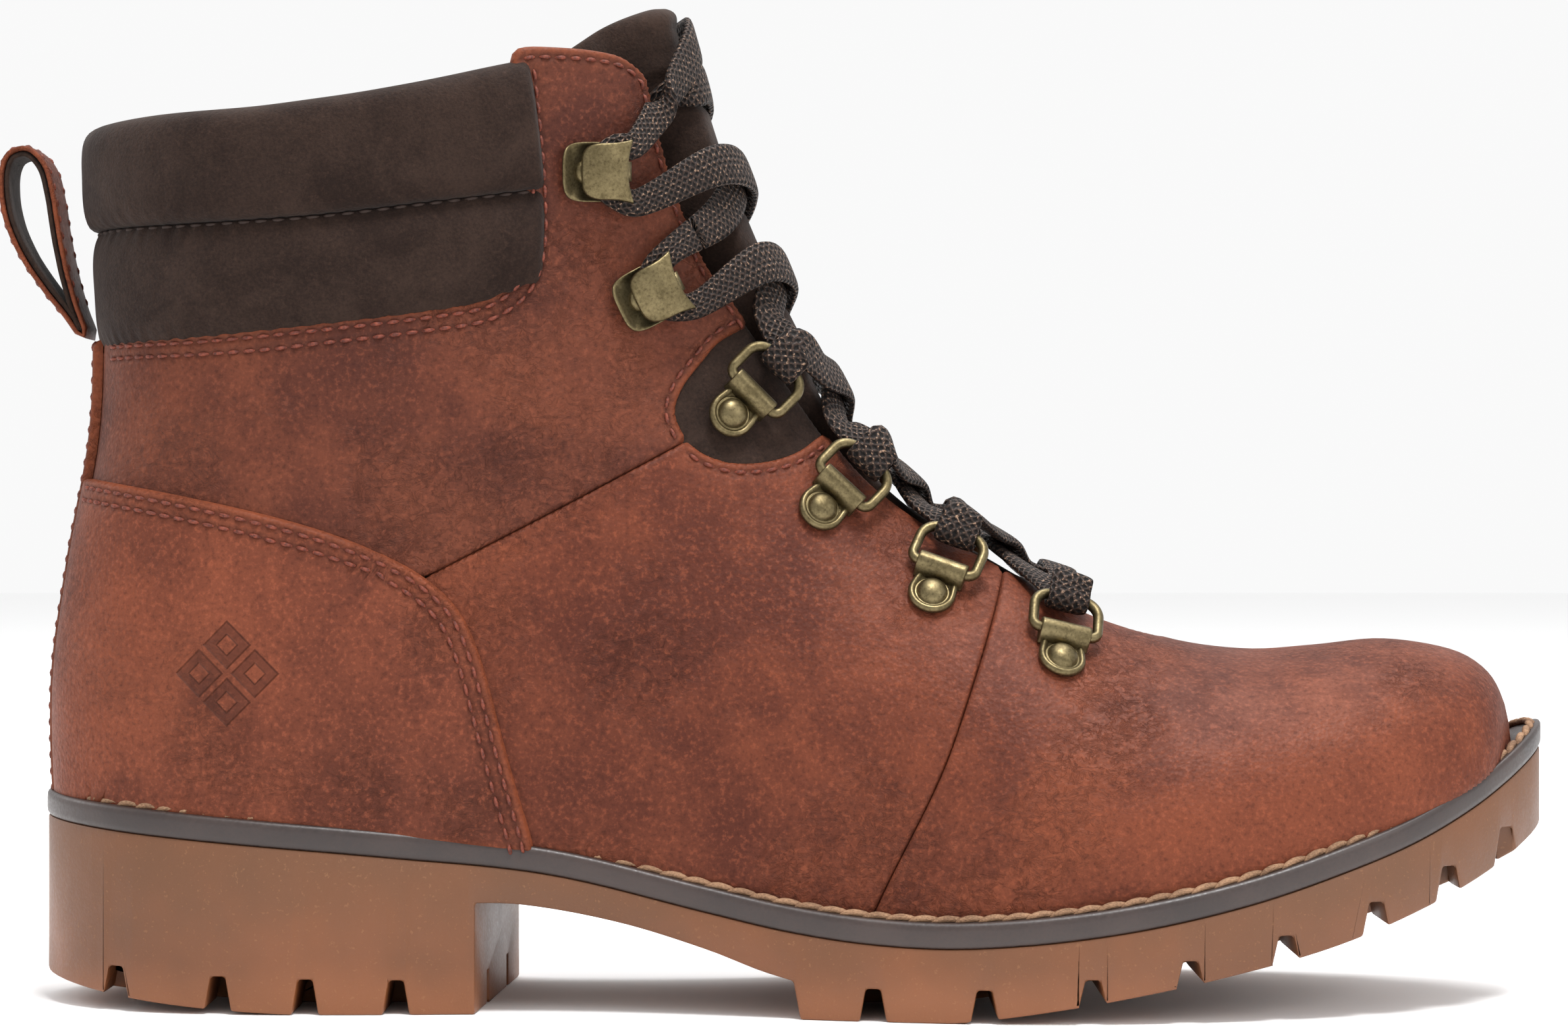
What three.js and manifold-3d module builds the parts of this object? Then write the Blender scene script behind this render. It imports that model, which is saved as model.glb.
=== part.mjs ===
// A laced leather hiking boot for the right foot, in millimetres: +X to the toe, -Y to the outer side, +Z up.
// The upper is one smooth last-shaped body. Every layer of it is a shell between two offsets of that body, and
// every panel is a piece of a shell inside an outline drawn in side view. The sole is drawn in side and plan view.
import * as THREE from "three";
import { mergeVertices } from "three/addons/utils/BufferGeometryUtils.js";
import Module from "manifold-3d";

const wasm = await Module();
wasm.setup();

// ---- driving dimensions -------------------------------------------------------------------------------------
const lengthScale = 1; // stretches the last and the sole along the foot
const heightScale = 1; // stretches the shaft above the welt
const widthScale = 1; // stretches the last and the sole across the foot

const fitGap = 0.3; // clearance between neighbouring pieces
const leather = 2.0; // upper leather
const stiffener = 1.2; // counter, toe puff and insulation, between leather and lining
const lining = 2.0; // insulated textile lining
const overlay = 1.5; // heel overlays and back stay
const collarSwell = 2.5; // how far the padded collar stands out past the leather
const weltShelf = 4.0; // welt showing outside the upper
const weltBand = 4.7; // welt and midsole band
const insoleBoard = 2.0;
const footbed = 4.0;
const shank = { length: 96, width: 14, thick: 1.2, middle: -30 };
const skirt = 8; // the last body runs this far below the welt, and is trimmed there

const backStayHalf = 6; // half width of the strip over the back seam
const loop = { width: 13, thick: 2.0, waist: 0.4 };
const lace = { width: 7.6, thick: 1.6 };
const wire = 0.85; // radius of the lace rings' wire
const ring = { inside: 10.6, reach: 8.6, corner: 2.2, foot: 1.2, lift: 6 }; // lift in degrees
const clip = { width: 8.4, length: 9.4, sheet: 1.0, spare: 0.15 }; // spare is the play round the wire
const rivet = { head: 2.9, rise: 1.5, rim: 0.5, shank: 1.2 };
const aglet = { width: 2.4, length: 15 };
const hook = {
  width: 9.4, length: 11.6, sheet: 1.0, mouth: 3.2,
  baseExtra: 3, // the base plate is wider than the cap
  neck: 3.6, rivetY: -3.2, rivetHead: 2.0,
};

// ---- small tools --------------------------------------------------------------------------------------------
const lerp = (a, b, u) => a + (b - a) * u;
const clamp = (x, low, high) => Math.min(high, Math.max(low, x));
const ease = (x) => {
  const u = clamp(x, 0, 1);
  return u * u * (3 - 2 * u);
};

// A smooth curve through [position, value] pairs, as a function.
function smooth(pairs) {
  const last = pairs.length - 1;
  const slopes = pairs.map((_, i) => {
    const [x0, v0] = pairs[Math.max(i - 1, 0)];
    const [x1, v1] = pairs[Math.min(i + 1, last)];
    return (v1 - v0) / (x1 - x0);
  });
  return (x) => {
    const at = clamp(x, pairs[0][0], pairs[last][0]);
    let i = 0;
    while (i < last - 1 && at > pairs[i + 1][0]) i++;
    const [x0, v0] = pairs[i];
    const [x1, v1] = pairs[i + 1];
    const h = x1 - x0;
    const u = (at - x0) / h;
    const a = u * u * (3 - 2 * u);
    return (
      v0 * (1 - a) + v1 * a + h * (u * (1 - u) * (1 - u) * slopes[i] - u * u * (1 - u) * slopes[i + 1])
    );
  };
}

// Evenly numbered steps from a to b, both included.
const steps = (a, b, n) => Array.from({ length: n + 1 }, (_, i) => lerp(a, b, i / n));

// A closed three.js geometry as a manifold solid, with its shared vertices merged.
function solidOf(geometry) {
  const loose = geometry.index ? geometry.toNonIndexed() : geometry;
  const bare = new THREE.BufferGeometry().setAttribute("position", loose.getAttribute("position"));
  const merged = mergeVertices(bare, 1e-4);
  const index = merged.index.array;
  const kept = [];
  for (let i = 0; i < index.length; i += 3) {
    const [a, b, c] = [index[i], index[i + 1], index[i + 2]];
    if (a !== b && b !== c && c !== a) kept.push(a, b, c);
  }
  return new wasm.Manifold(
    new wasm.Mesh({
      numProp: 3,
      vertProperties: merged.attributes.position.array,
      triVerts: Uint32Array.from(kept),
    }),
  );
}

// A manifold solid as a three.js geometry. Slivers that a cut left loose are dropped.
function geometryOf(solid) {
  const whole = solid.simplify(0.03).decompose().sort((a, b) => b.volume() - a.volume())[0];
  const { numProp, vertProperties, triVerts } = whole.getMesh();
  const position = new Float32Array(triVerts.length * 3);
  triVerts.forEach((v, i) => position.set(vertProperties.subarray(v * numProp, v * numProp + 3), i * 3));
  const geometry = new THREE.BufferGeometry();
  geometry.setAttribute("position", new THREE.BufferAttribute(position, 3));
  geometry.computeVertexNormals();
  return geometry;
}

// A closed body through rings of points. Each ring has the same number of points, and both ends are capped.
function loft(rings) {
  const positions = [];
  const triangle = (a, b, c) => positions.push(...a, ...b, ...c);
  const n = rings[0].length;
  for (let i = 0; i + 1 < rings.length; i++)
    for (let j = 0; j < n; j++) {
      const k = (j + 1) % n;
      triangle(rings[i][j], rings[i][k], rings[i + 1][k]);
      triangle(rings[i][j], rings[i + 1][k], rings[i + 1][j]);
    }
  const cap = (points, turned) => {
    const middle = [0, 1, 2].map((k) => points.reduce((sum, p) => sum + p[k], 0) / n);
    points.forEach((p, j) => {
      const q = points[(j + 1) % n];
      if (turned) triangle(middle, q, p);
      else triangle(middle, p, q);
    });
  };
  cap(rings[0], true);
  cap(rings[rings.length - 1], false);
  const geometry = new THREE.BufferGeometry();
  geometry.setAttribute("position", new THREE.BufferAttribute(Float32Array.from(positions), 3));
  const made = solidOf(geometry);
  if (made.volume() > 0) return made;
  return loft(rings.map((points) => [...points].reverse()));
}

// A closed band through rings of four points, which comes back to its first ring.
function closedLoft(rings) {
  const positions = [];
  rings.forEach((ring, i) => {
    const next = rings[(i + 1) % rings.length];
    ring.forEach((p, j) => {
      const k = (j + 1) % ring.length;
      positions.push(...p, ...ring[k], ...next[k], ...p, ...next[k], ...next[j]);
    });
  });
  const geometry = new THREE.BufferGeometry();
  geometry.setAttribute("position", new THREE.BufferAttribute(Float32Array.from(positions), 3));
  const made = solidOf(geometry);
  if (made.volume() > 0) return made;
  return closedLoft(rings.map((points) => [...points].reverse()));
}

const shapeOf = (points) => new THREE.Shape(points.map(([x, y]) => new THREE.Vector2(x, y)));

// An outline in plan, [x, y] points, standing between two heights.
function planPrism(points, low, high) {
  const made = new THREE.ExtrudeGeometry(shapeOf(points), { depth: high - low, bevelEnabled: false });
  return solidOf(made.translate(0, 0, low));
}

// An outline in side view, [x, z] points, running across from y = from to y = to.
function sidePrism(points, from, to) {
  const made = new THREE.ExtrudeGeometry(shapeOf(points), { depth: to - from, bevelEnabled: false });
  return solidOf(made.rotateX(Math.PI / 2).translate(0, to, 0));
}

// ---- the sole's lines -----------------------------------------------------------------------------------------
const far = 200; // past every side of the boot
const solePlan = new THREE.CatmullRomCurve3(
  [
    [-139.4, 0], [-134, -16.5], [-120, -29], [-100, -34], [-78, -34.5], [-55, -33.5], [-33, -34],
    [-10, -38], [15, -44.5], [38, -49], [60, -50], [80, -47.5], [100, -42], [117, -33.5],
    [131, -21.5], [140.5, -8.5], [144, 4], [141, 17], [131, 27.5], [115, 36.5], [95, 42.5],
    [72, 45], [50, 43], [28, 38], [5, 32.5], [-20, 29.5], [-45, 30], [-70, 32.5], [-98, 33.5],
    [-120, 29], [-134, 16.5],
  ].map(([x, y]) => new THREE.Vector3(x * lengthScale, y * widthScale, 0)),
  true,
);

// The sole's outline in plan, moved in by inset, from the heel round the outer side.
function soleOutline(inset, count = 52) {
  return Array.from({ length: count }, (_, i) => {
    const p = solePlan.getPointAt(i / count);
    const t = solePlan.getTangentAt(i / count);
    return [p.x - t.y * inset, p.y + t.x * inset];
  });
}

const scaled = (pairs) => smooth(pairs.map(([x, z]) => [x * lengthScale, z]));
const weltTop = scaled([
  [-140, 39.5], [-130, 38.4], [-107, 36.3], [-71, 33.2], [-43, 30.2], [-14, 23.6], [0, 20.6],
  [14, 18.7], [28, 18.0], [42, 18.7], [56, 20.3], [70, 22.7], [85, 26.2], [99, 30.5], [114, 35.8],
  [126, 41.4], [134, 46], [144, 52.5],
]);
const bandBottom = (x) => weltTop(x) - weltBand;
const soleXs = steps(-150 * lengthScale, 150 * lengthScale, 24);
const groundCurve = scaled([
  [-140, 5.5], [-125, 3.2], [-112, 1.6], [-100, 0.6], [-88, 0], [-80, 0], [22, 0], [30, 0], [45, 1.9], [63, 5.0],
  [81, 8.7], [99, 13.2], [115, 18.8], [130, 25.2], [144, 33],
]);
const groundLine = (x) => Math.max(0, groundCurve(x)); // the lugs under the heel and the ball are flat
const lugRoot = scaled([
  [-140, 9.5], [-125, 8.4], [-100, 6.8], [-60, 6.2], [20, 5.9], [35, 6.0], [52, 7.6], [72, 11.2],
  [90, 15.5], [107, 21], [122, 27], [136, 34], [144, 38.5],
]);
const archLine = scaled([
  [-60, 20.3], [-48, 20], [-30, 16.8], [-14, 12.2], [-4, 8.6], [4, 6.4],
]);
const breast = -56.4 * lengthScale; // front of the heel block, at the outer side
const archEnd = 2 * lengthScale;
const breastSlant = 0.065; // the heel block runs further forward on the inner side

// ---- the last: ridge line, base line and half widths, station by station --------------------------------------
// Stations count from the toe tip, over the instep and the heel corner, to the top of the shaft.
const soleLine = (x) => weltTop(x * lengthScale) - skirt;
const heelCorner = 17; // the station whose base point is the heel's lower back corner
const overTop = 24.6; // the body runs past the top line, and is trimmed there
const ridge = [
  [0, 137.0, soleLine(137)], [0.5, 137.2, 51], [1, 136.4, 56.6], [2, 132.6, 62.3], [3, 126, 65.7],
  [4, 114, 67.4], [5, 101, 66.2], [6, 88, 65.5], [7, 73, 67.6], [8, 57, 73.2], [9, 42, 81.8],
  [10, 29, 89.6], [11, 18, 98.6], [12, 11, 108], [13, 6, 117], [14, 2, 125], [15, -1.5, 132],
  [16, -4.3, 138.5], [17, -6.5, 143.5], [18, -9, 149.5], [19, -11.8, 156.5], [20, -14, 163],
  [21, -15.8, 169], [22, -17.4, 175], [23, -19, 181], [24.6, -21.5, 191],
];
const base = [
  [0, 137.0, soleLine(137)], [0.5, 136.7, soleLine(136.7)], [1, 135.7, soleLine(135.7)],
  [2, 131.5, soleLine(131.5)], [3, 124, soleLine(124)], [4, 111, soleLine(111)],
  [5, 97, soleLine(97)], [6, 82, soleLine(82)], [7, 65, soleLine(65)], [8, 46, soleLine(46)],
  [9, 26, soleLine(26)], [10, 3, soleLine(3)], [11, -22, soleLine(-22)], [12, -48, soleLine(-48)],
  [13, -75, soleLine(-75)], [14, -99, soleLine(-99)], [15, -118, soleLine(-118)],
  [16, -131, soleLine(-131)], [17, -135.4, 31.5], [18, -136.6, 58], [19, -133.6, 82],
  [20, -129.6, 104], [21, -128.6, 122], [22, -129.2, 143], [23, -130.8, 162], [24.6, -132, 178],
];
const column = (table, k, scale) => smooth(table.map((row) => [row[0], row[k] * scale]));
const raised = (table) =>
  smooth(table.map(([t, , z]) => [t, z > 60 ? 60 + (z - 60) * heightScale : z]));
const ridgeX = column(ridge, 1, lengthScale);
const ridgeZ = raised(ridge);
const baseX = column(base, 1, lengthScale);
const baseZ = raised(base);
const outerHalf = smooth(
  [
    [0, 0], [0.5, 6], [1, 12], [2, 24], [3, 32], [4, 39.5], [5, 44], [6, 47.5], [7, 49], [8, 47.5],
    [9, 43.5], [10, 39], [11, 35.5], [12, 33.5], [13, 33], [16, 33], [19, 33], [20, 33.5],
    [21, 34.5], [22, 35.5], [24.6, 36.5],
  ].map(([t, w]) => [t, w * widthScale]),
);
const innerHalf = smooth(
  [
    [0, 0], [0.5, 6], [1, 11], [2, 20], [3, 27], [4, 32.5], [5, 35.5], [6, 37.5], [7, 38.5],
    [8, 38], [9, 35.5], [10, 33], [11, 31.5], [12, 31], [13, 31.5], [16, 33], [19, 33], [20, 33.5],
    [21, 34.5], [22, 35.5], [24.6, 36.5],
  ].map(([t, w]) => [t, w * widthScale]),
);
const ridgeY = smooth(
  [[0, 4], [3, 4], [7, 3], [10, 1.2], [13, 0], [24.6, 0]].map(([t, y]) => [t, y * widthScale]),
);
const widest = smooth([
  [0, 0.72], [4, 0.75], [7, 0.78], [9, 0.78], [11, 0.8], [13, 0.8], [15, 0.72], [17, 0.6],
  [19, 0.53], [21, 0.49], [24.6, 0.48],
]);
const frontFullness = smooth([[0, 2], [2, 2.2], [5, 2.3], [8, 2.05], [24.6, 2]]);
const backFullness = smooth([[0, 2.2], [14, 2.2], [18, 2.3], [24.6, 2.2]]);

// Half width of the upper where it meets the welt: the sole's outline moved in by the shelf.
const feather = soleOutline(weltShelf, 400);
function featherY(x, side) {
  let best = null;
  feather.forEach(([x0, y0], i) => {
    const [x1, y1] = feather[(i + 1) % feather.length];
    if ((x0 - x) * (x1 - x) > 0 || x0 === x1) return;
    const y = lerp(y0, y1, (x - x0) / (x1 - x0));
    if (best === null || y * side > best * side) best = y;
  });
  return best;
}

// How far the wall stands from the ridge plane at station t, a share s of the way from ridge to base.
function halfWidth(t, s, side) {
  const edge = t < heelCorner ? featherY(baseX(t), side) : null;
  const atBase = edge === null ? 0 : Math.max(0, (edge - ridgeY(t)) * side);
  const full = Math.max((side < 0 ? outerHalf : innerHalf)(t), atBase * 1.01);
  if (full < 1e-6) return 0;
  const m = widest(t);
  if (s <= m) return full * (1 - (1 - s / m) ** frontFullness(t)) ** (1 / frontFullness(t));
  const q = backFullness(t);
  const kept = 1 - (atBase / full) ** q;
  return full * Math.max(0, 1 - ((s - m) / (1 - m)) ** q * kept) ** (1 / q);
}

// A point of the last. The turn a goes from 0 on the ridge to 1 on the base line, and negative a is the outer side.
function lastPoint(t, a) {
  const side = a < 0 ? -1 : 1;
  const s = (1 - Math.cos(Math.PI * Math.min(1, Math.abs(a)))) / 2;
  return new THREE.Vector3(
    lerp(ridgeX(t), baseX(t), s),
    ridgeY(t) * (1 - s * ease((t - 12) / 4)) + side * halfWidth(t, s, side),
    lerp(ridgeZ(t), baseZ(t), s),
  );
}

function lastNormal(t, a) {
  const side = a < 0 ? -1 : 1;
  const turn = side * clamp(Math.abs(a), 0.012, 0.985);
  const at = clamp(t, 0.12, overTop - 0.1);
  const along = lastPoint(at + 0.05, turn).sub(lastPoint(at - 0.05, turn));
  const round = lastPoint(at, turn + 0.01).sub(lastPoint(at, turn - 0.01));
  const normal = round.cross(along).normalize();
  const closed = t >= heelCorner && Math.abs(a) > 0.999;
  if (Math.abs(a) < 1e-6 || closed) normal.setY(0).normalize();
  return normal;
}

const onLast = (t, a, out) => lastPoint(t, a).addScaledVector(lastNormal(t, a), out);

// Where a side view point lies on the last: its station, and its turn on the outer (-1) or inner (1) side.
function locate(x, z, side) {
  const off = (t) =>
    (x - ridgeX(t)) * (baseZ(t) - ridgeZ(t)) - (z - ridgeZ(t)) * (baseX(t) - ridgeX(t));
  let [low, high] = [0.6, overTop - 0.01];
  const sign = Math.sign(off(low));
  for (let i = 0; i < 40; i++) {
    const middle = (low + high) / 2;
    if (Math.sign(off(middle)) === sign) low = middle;
    else high = middle;
  }
  const [dx, dz] = [baseX(low) - ridgeX(low), baseZ(low) - ridgeZ(low)];
  const s = clamp(((x - ridgeX(low)) * dx + (z - ridgeZ(low)) * dz) / (dx * dx + dz * dz), 0, 1);
  return { t: low, a: (side * Math.acos(1 - 2 * s)) / Math.PI };
}

// The whole last body, with its skin moved out by an offset.
const stations = [
  0, 0.5, 1, 1.6, 2.3, 3.1, 4, 5.2, 6.5, 7.8, 8.9, 10, 11, 12, 13, 14, 15, 15.7, 16.25, 16.6, 16.85, 17,
  17.7, 18.8, 20, 21.2, 22.4, 24.6,
];
const turns = 7;
const bodies = new Map();
function lastBody(out) {
  if (!bodies.has(out)) {
    const rings = stations.map((t) => {
      if (t === 0) {
        const tip = lastPoint(0, 0);
        return Array.from({ length: turns * 2 }, () => [tip.x + out, tip.y, tip.z]);
      }
      const outer = steps(0, 1, turns).map((a) => onLast(t, -a, out).toArray());
      const inner = steps(0, 1, turns).map((a) => onLast(t, a || 1e-9, out).toArray());
      if (t >= heelCorner) inner[turns] = outer[turns];
      return [...outer, ...inner.slice(1).reverse()];
    });
    const same = rings[1].length;
    rings[0] = Array.from({ length: same }, () => rings[0][0]);
    bodies.set(out, loft(rings));
  }
  return bodies.get(out);
}

// ---- side view outlines ------------------------------------------------------------------------------------------
const X = (x) => x * lengthScale;
const Z = (z) => (z > 60 ? 60 + (z - 60) * heightScale : z);
const drawn = (points) => points.map(([x, z]) => [X(x), Z(z)]);
const topLine = drawn([[-150, 162], [-131, 163], [-118, 164], [-95, 165.2], [-71, 168.4], [-49.5, 173]]);
const channelLine = drawn([
  [-150, 143.5], [-129.4, 144], [-107, 144.3], [-85.5, 145.4], [-66, 147.6], [-47.4, 150],
]);
const collarBorder = drawn([
  [-150, 123.5], [-128, 123.8], [-107.9, 124.3], [-85.5, 126.2], [-64.2, 128.7], [-54.5, 130.6],
  [-49.6, 134.3], [-47.6, 140],
]);
const tabBack = drawn([[-47.4, 150], [-48.4, 163.5], [-49.5, 173]]);
const tabTop = drawn([[-48.6, 175.9], [-43.7, 176.6], [-31, 176], [-26.5, 173.6]]);
const tabCorner = drawn([[-24, 170], [-21.5, 163]]);
const insertBack = drawn([
  [-11.5, 123.4], [-14.8, 119.6], [-18.6, 114.5], [-19.9, 109.8], [-17.8, 104.8],
]);
const insertLow = drawn([[-14.5, 102.4], [-9.4, 100.8], [-2.9, 101.1], [2.9, 103], [7.3, 106.1]]);
const vampSeam = drawn([[44, 90], [41.3, 80.4], [34, 59.4], [28.2, 44], [16.2, 19.4], [11, 5]]);
const crossSeam = drawn([[-17.8, 104.8], [-40, 92.8], [-64.2, 80.2], [-100, 72], [-150, 70]]);
const overlayEdge = drawn([
  [-150, 99], [-128.6, 97.6], [-107.6, 93.9], [-88.4, 89.4], [-75.6, 84.9], [-65.6, 79.6],
  [-59.2, 73.4], [-55.3, 64.9], [-51.3, 50.6], [-48.5, 40.6], [-45.9, 31.8], [-43, 15],
]);

// ---- assembling --------------------------------------------------------------------------------------------------
const boot = new THREE.Group();
const finish = {
  leather: new THREE.MeshStandardMaterial({ color: 0x7a4739, roughness: 0.65 }),
  suede: new THREE.MeshStandardMaterial({ color: 0x382a25, roughness: 0.95 }),
  gum: new THREE.MeshStandardMaterial({ color: 0x8a5a3c, roughness: 0.55 }),
  band: new THREE.MeshStandardMaterial({ color: 0x574a49, roughness: 0.6 }),
  brass: new THREE.MeshStandardMaterial({ color: 0x67553a, roughness: 0.4, metalness: 0.9 }),
  steel: new THREE.MeshStandardMaterial({ color: 0x8c9094, roughness: 0.4, metalness: 0.9 }),
  textile: new THREE.MeshStandardMaterial({ color: 0x4b3a31, roughness: 0.95 }),
  board: new THREE.MeshStandardMaterial({ color: 0x9b8c74, roughness: 0.9 }),
  foam: new THREE.MeshStandardMaterial({ color: 0xb9ad98, roughness: 0.95 }),
};

function add(name, solid, material) {
  const mesh = new THREE.Mesh(geometryOf(solid), material);
  mesh.name = name;
  boot.add(mesh);
  return mesh;
}

const sides = [["lateral", -1], ["medial", 1]];
// Everything above the welt's top face, plus a lift.
const aboveWelt = (lift) =>
  sidePrism([...soleXs.map((x) => [x, weltTop(x) + lift]), [X(150), 400], [X(-150), 400]], -far, far);
const overWelt = aboveWelt(fitGap);
const shell = (out, inside) => lastBody(out).subtract(lastBody(inside));
const halfSpace = (side, start) => (side < 0 ? [-far, -start] : [start, far]);
const onSide = (points, side, start = fitGap / 2) => sidePrism(points, ...halfSpace(side, start));

// A thin wall following an outline, which cuts the gap between two neighbouring panels.
function kerf(points, from = -far, to = far) {
  let made = null;
  points.slice(1).forEach(([x1, z1], i) => {
    const [x0, z0] = points[i];
    const run = Math.hypot(x1 - x0, z1 - z0) + fitGap;
    const bar = new THREE.BoxGeometry(run, to - from, fitGap);
    bar.rotateY(-Math.atan2(z1 - z0, x1 - x0));
    bar.translate((x0 + x1) / 2, (from + to) / 2, (z0 + z1) / 2);
    made = made ? made.add(solidOf(bar)) : solidOf(bar);
  });
  return made;
}

// ---- sole unit ---------------------------------------------------------------------------------------------------
function soleSlab(inset, top, bottom) {
  const side = [...soleXs.map((x) => [x, top(x)]), ...[...soleXs].reverse().map((x) => [x, bottom(x)])];
  return planPrism(soleOutline(inset), -20, 100).intersect(sidePrism(side, -far, far));
}

function makeOutsole() {
  const notchTop = 2.6; // width of a lug gap at its root
  const notchFoot = 4.8; // and at the ground
  const rows = { outer: -15, inner: 13, channel: 3.2 };
  let sole = soleSlab(0, (x) => bandBottom(x) - fitGap, groundLine);
  const archXs = steps(breast, archEnd, 12);
  const arch = sidePrism([...archXs.map((x) => [x, archLine(x)]), [archEnd + 3, -9], [breast, -9]], -far, far);
  const slant = new THREE.Matrix4().makeShear(0, 0, breastSlant, 0, 0, 0);
  slant.premultiply(new THREE.Matrix4().makeTranslation(breastSlant * 33, 0, 0));
  sole = sole.subtract(arch.transform(slant.elements));
  const notch = (x, from, to) => {
    const top = lugRoot(X(x));
    const [a, b] = [notchTop / 2, notchFoot / 2 + (top - groundLine(X(x)) > 7 ? 0.6 : 0)];
    const low = groundLine(X(x)) - 6;
    const right = [[a, top], [b, low + 6], [b + 1, low]];
    const left = right.map(([out, z]) => [-out, z]).reverse();
    return sidePrism([...right, ...left].map(([out, z]) => [X(x) + out, z]), from, to);
  };
  const cuts = [];
  for (const x of [-122.5, -103, -87, -70.5]) {
    cuts.push(notch(x, -far, rows.outer), notch(x, rows.inner, far));
    if (x > -120) cuts.push(notch(x + 8, rows.outer, rows.inner));
  }
  for (const x of [16, 35.8, 55, 72.5, 90, 107, 121.5, 134]) {
    cuts.push(notch(x, -far, rows.outer), notch(x + 2, rows.inner, far));
    if (x < 125) cuts.push(notch(x + 9, rows.outer, rows.inner));
  }
  // Two channels run along the sole between the side lugs and the middle ones.
  const xs = steps(X(-120), X(124), 40);
  const under = sidePrism([...xs.map((x) => [x, lugRoot(x)]), [X(124), -9], [X(-120), -9]], -far, far);
  for (const y of [rows.outer, rows.inner]) {
    const [near, away] = [y - rows.channel / 2, y + rows.channel / 2];
    const plan = [[X(-120), near], [X(124), near], [X(124), away], [X(-120), away]];
    cuts.push(planPrism(plan, -20, 60).intersect(under));
  }
  return cuts.reduce((body, cut) => body.subtract(cut), sole);
}

add("outsole", makeOutsole(), finish.gum);

const shankBed = shank.thick + 2 * fitGap; // depth of the shank's recess in the midsole
function shankShape(spare, top, bottom) {
  const [half, end] = [shank.width / 2 + spare, shank.length / 2 + spare];
  const plan = [[-end, -half], [end, -half], [end, half], [-end, half]].map(([x, y]) => [X(shank.middle) + x, y]);
  const xs = steps(X(shank.middle) - end, X(shank.middle) + end, 12);
  const side = [...xs.map((x) => [x, top(x)]), ...[...xs].reverse().map((x) => [x, bottom(x)])];
  return planPrism(plan, -20, 100).intersect(sidePrism(side, -far, far));
}
const shankHole = shankShape(fitGap, (x) => weltTop(x) + 5, (x) => weltTop(x) - shankBed);
add("midsole", soleSlab(0, weltTop, bandBottom).subtract(shankHole), finish.band);
add(
  "shank",
  shankShape(0, (x) => weltTop(x) - fitGap, (x) => weltTop(x) - fitGap - shank.thick),
  finish.steel,
);

const liningInside = leather + stiffener + lining + 2 * fitGap; // depth of the lining's inner face
const room = lastBody(-liningInside - 2 * fitGap);
const boardTop = (x) => weltTop(x) + fitGap + insoleBoard;
add("insole_board", soleSlab(0, boardTop, (x) => weltTop(x) + fitGap).intersect(room), finish.board);
add(
  "footbed",
  soleSlab(0, (x) => boardTop(x) + fitGap + footbed, (x) => boardTop(x) + fitGap).intersect(room),
  finish.foam,
);

// ---- hardware ----------------------------------------------------------------------------------------------------
// A seat on the leather at a side view point. Its x runs along the lace edge, y to the tongue and z out of the leather.
function seat(x, z, side, aim) {
  const { t, a } = locate(X(x), Z(z), side);
  const origin = lastPoint(t, a);
  const out = lastNormal(t, a);
  const goal = locate(X(x + aim[0]), Z(z + aim[1]), side);
  const pull = lastPoint(goal.t, goal.a).sub(origin);
  pull.addScaledVector(out, -pull.dot(out)).normalize();
  const along = pull.clone().cross(out).normalize();
  return new THREE.Matrix4().makeBasis(along, pull, out).setPosition(origin);
}
const placed = (solid, matrix) => solid.transform(matrix.elements);
const turned = (geometry) => geometry.rotateX(Math.PI / 2); // cylinders stand along z
const plateLift = 0.45; // clearance that keeps a flat plate off the curved leather
const capTop = 0.25;

// D-ring clips: [x, z] of the rivet, and the way from it to the tongue
const clipPlaces = [
  { at: [50.6, 64.2], aim: [0.4, 4.7] },
  { at: [27.1, 76.0], aim: [2.2, 4.2] },
  { at: [6.7, 91.8], aim: [3.2, 3.2] },
  { at: [-9.9, 109.4], aim: [3.4, 3.6] },
];
const sleeveRadius = wire + clip.spare + clip.sheet;
const barAt = { y: 5.2, z: plateLift + sleeveRadius }; // the ring's bar, from the rivet

function clipSolid() {
  const plate = new THREE.Shape();
  const [half, end] = [clip.width / 2, barAt.y];
  plate.moveTo(half - 0.6, end);
  plate.lineTo(half, 0.6);
  plate.absarc(0, 0, half, 0.1, -Math.PI - 0.1, true);
  plate.lineTo(-half + 0.6, end);
  const sheet = new THREE.ExtrudeGeometry(plate, { depth: clip.sheet, bevelEnabled: false, curveSegments: 7 });
  const sleeve = new THREE.CylinderGeometry(sleeveRadius, sleeveRadius, clip.length, 10);
  sleeve.rotateZ(Math.PI / 2).translate(0, barAt.y, barAt.z);
  const bore = new THREE.CylinderGeometry(wire + clip.spare, wire + clip.spare, clip.length + 2, 10);
  bore.rotateZ(Math.PI / 2).translate(0, barAt.y, barAt.z);
  const hole = turned(new THREE.CylinderGeometry(rivet.shank + 0.2, rivet.shank + 0.2, 6, 10));
  const body = solidOf(sheet.translate(0, 0, plateLift)).add(solidOf(sleeve));
  return body.subtract(solidOf(bore)).subtract(solidOf(hole));
}

// The rivet: a domed head over the plate, and a shank into the leather.
function rivetSolid(depth) {
  const low = plateLift + clip.sheet + capTop;
  const outline = [
    [0, -depth], [rivet.shank, -depth], [rivet.shank, low], [rivet.head, low], [rivet.head, low + rivet.rim],
    [rivet.head * 0.75, low + rivet.rise * 0.8], [0, low + rivet.rise],
  ].map(([r, z]) => new THREE.Vector2(r, z));
  return solidOf(turned(new THREE.LatheGeometry(outline, 10)));
}

// A closed tube of a given radius along a closed curve of points.
function closedTube(points, radius, segments, sidesRound) {
  const curve = new THREE.CatmullRomCurve3(points, true, "centripetal");
  return solidOf(new THREE.TubeGeometry(curve, segments, radius, sidesRound, true));
}

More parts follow.
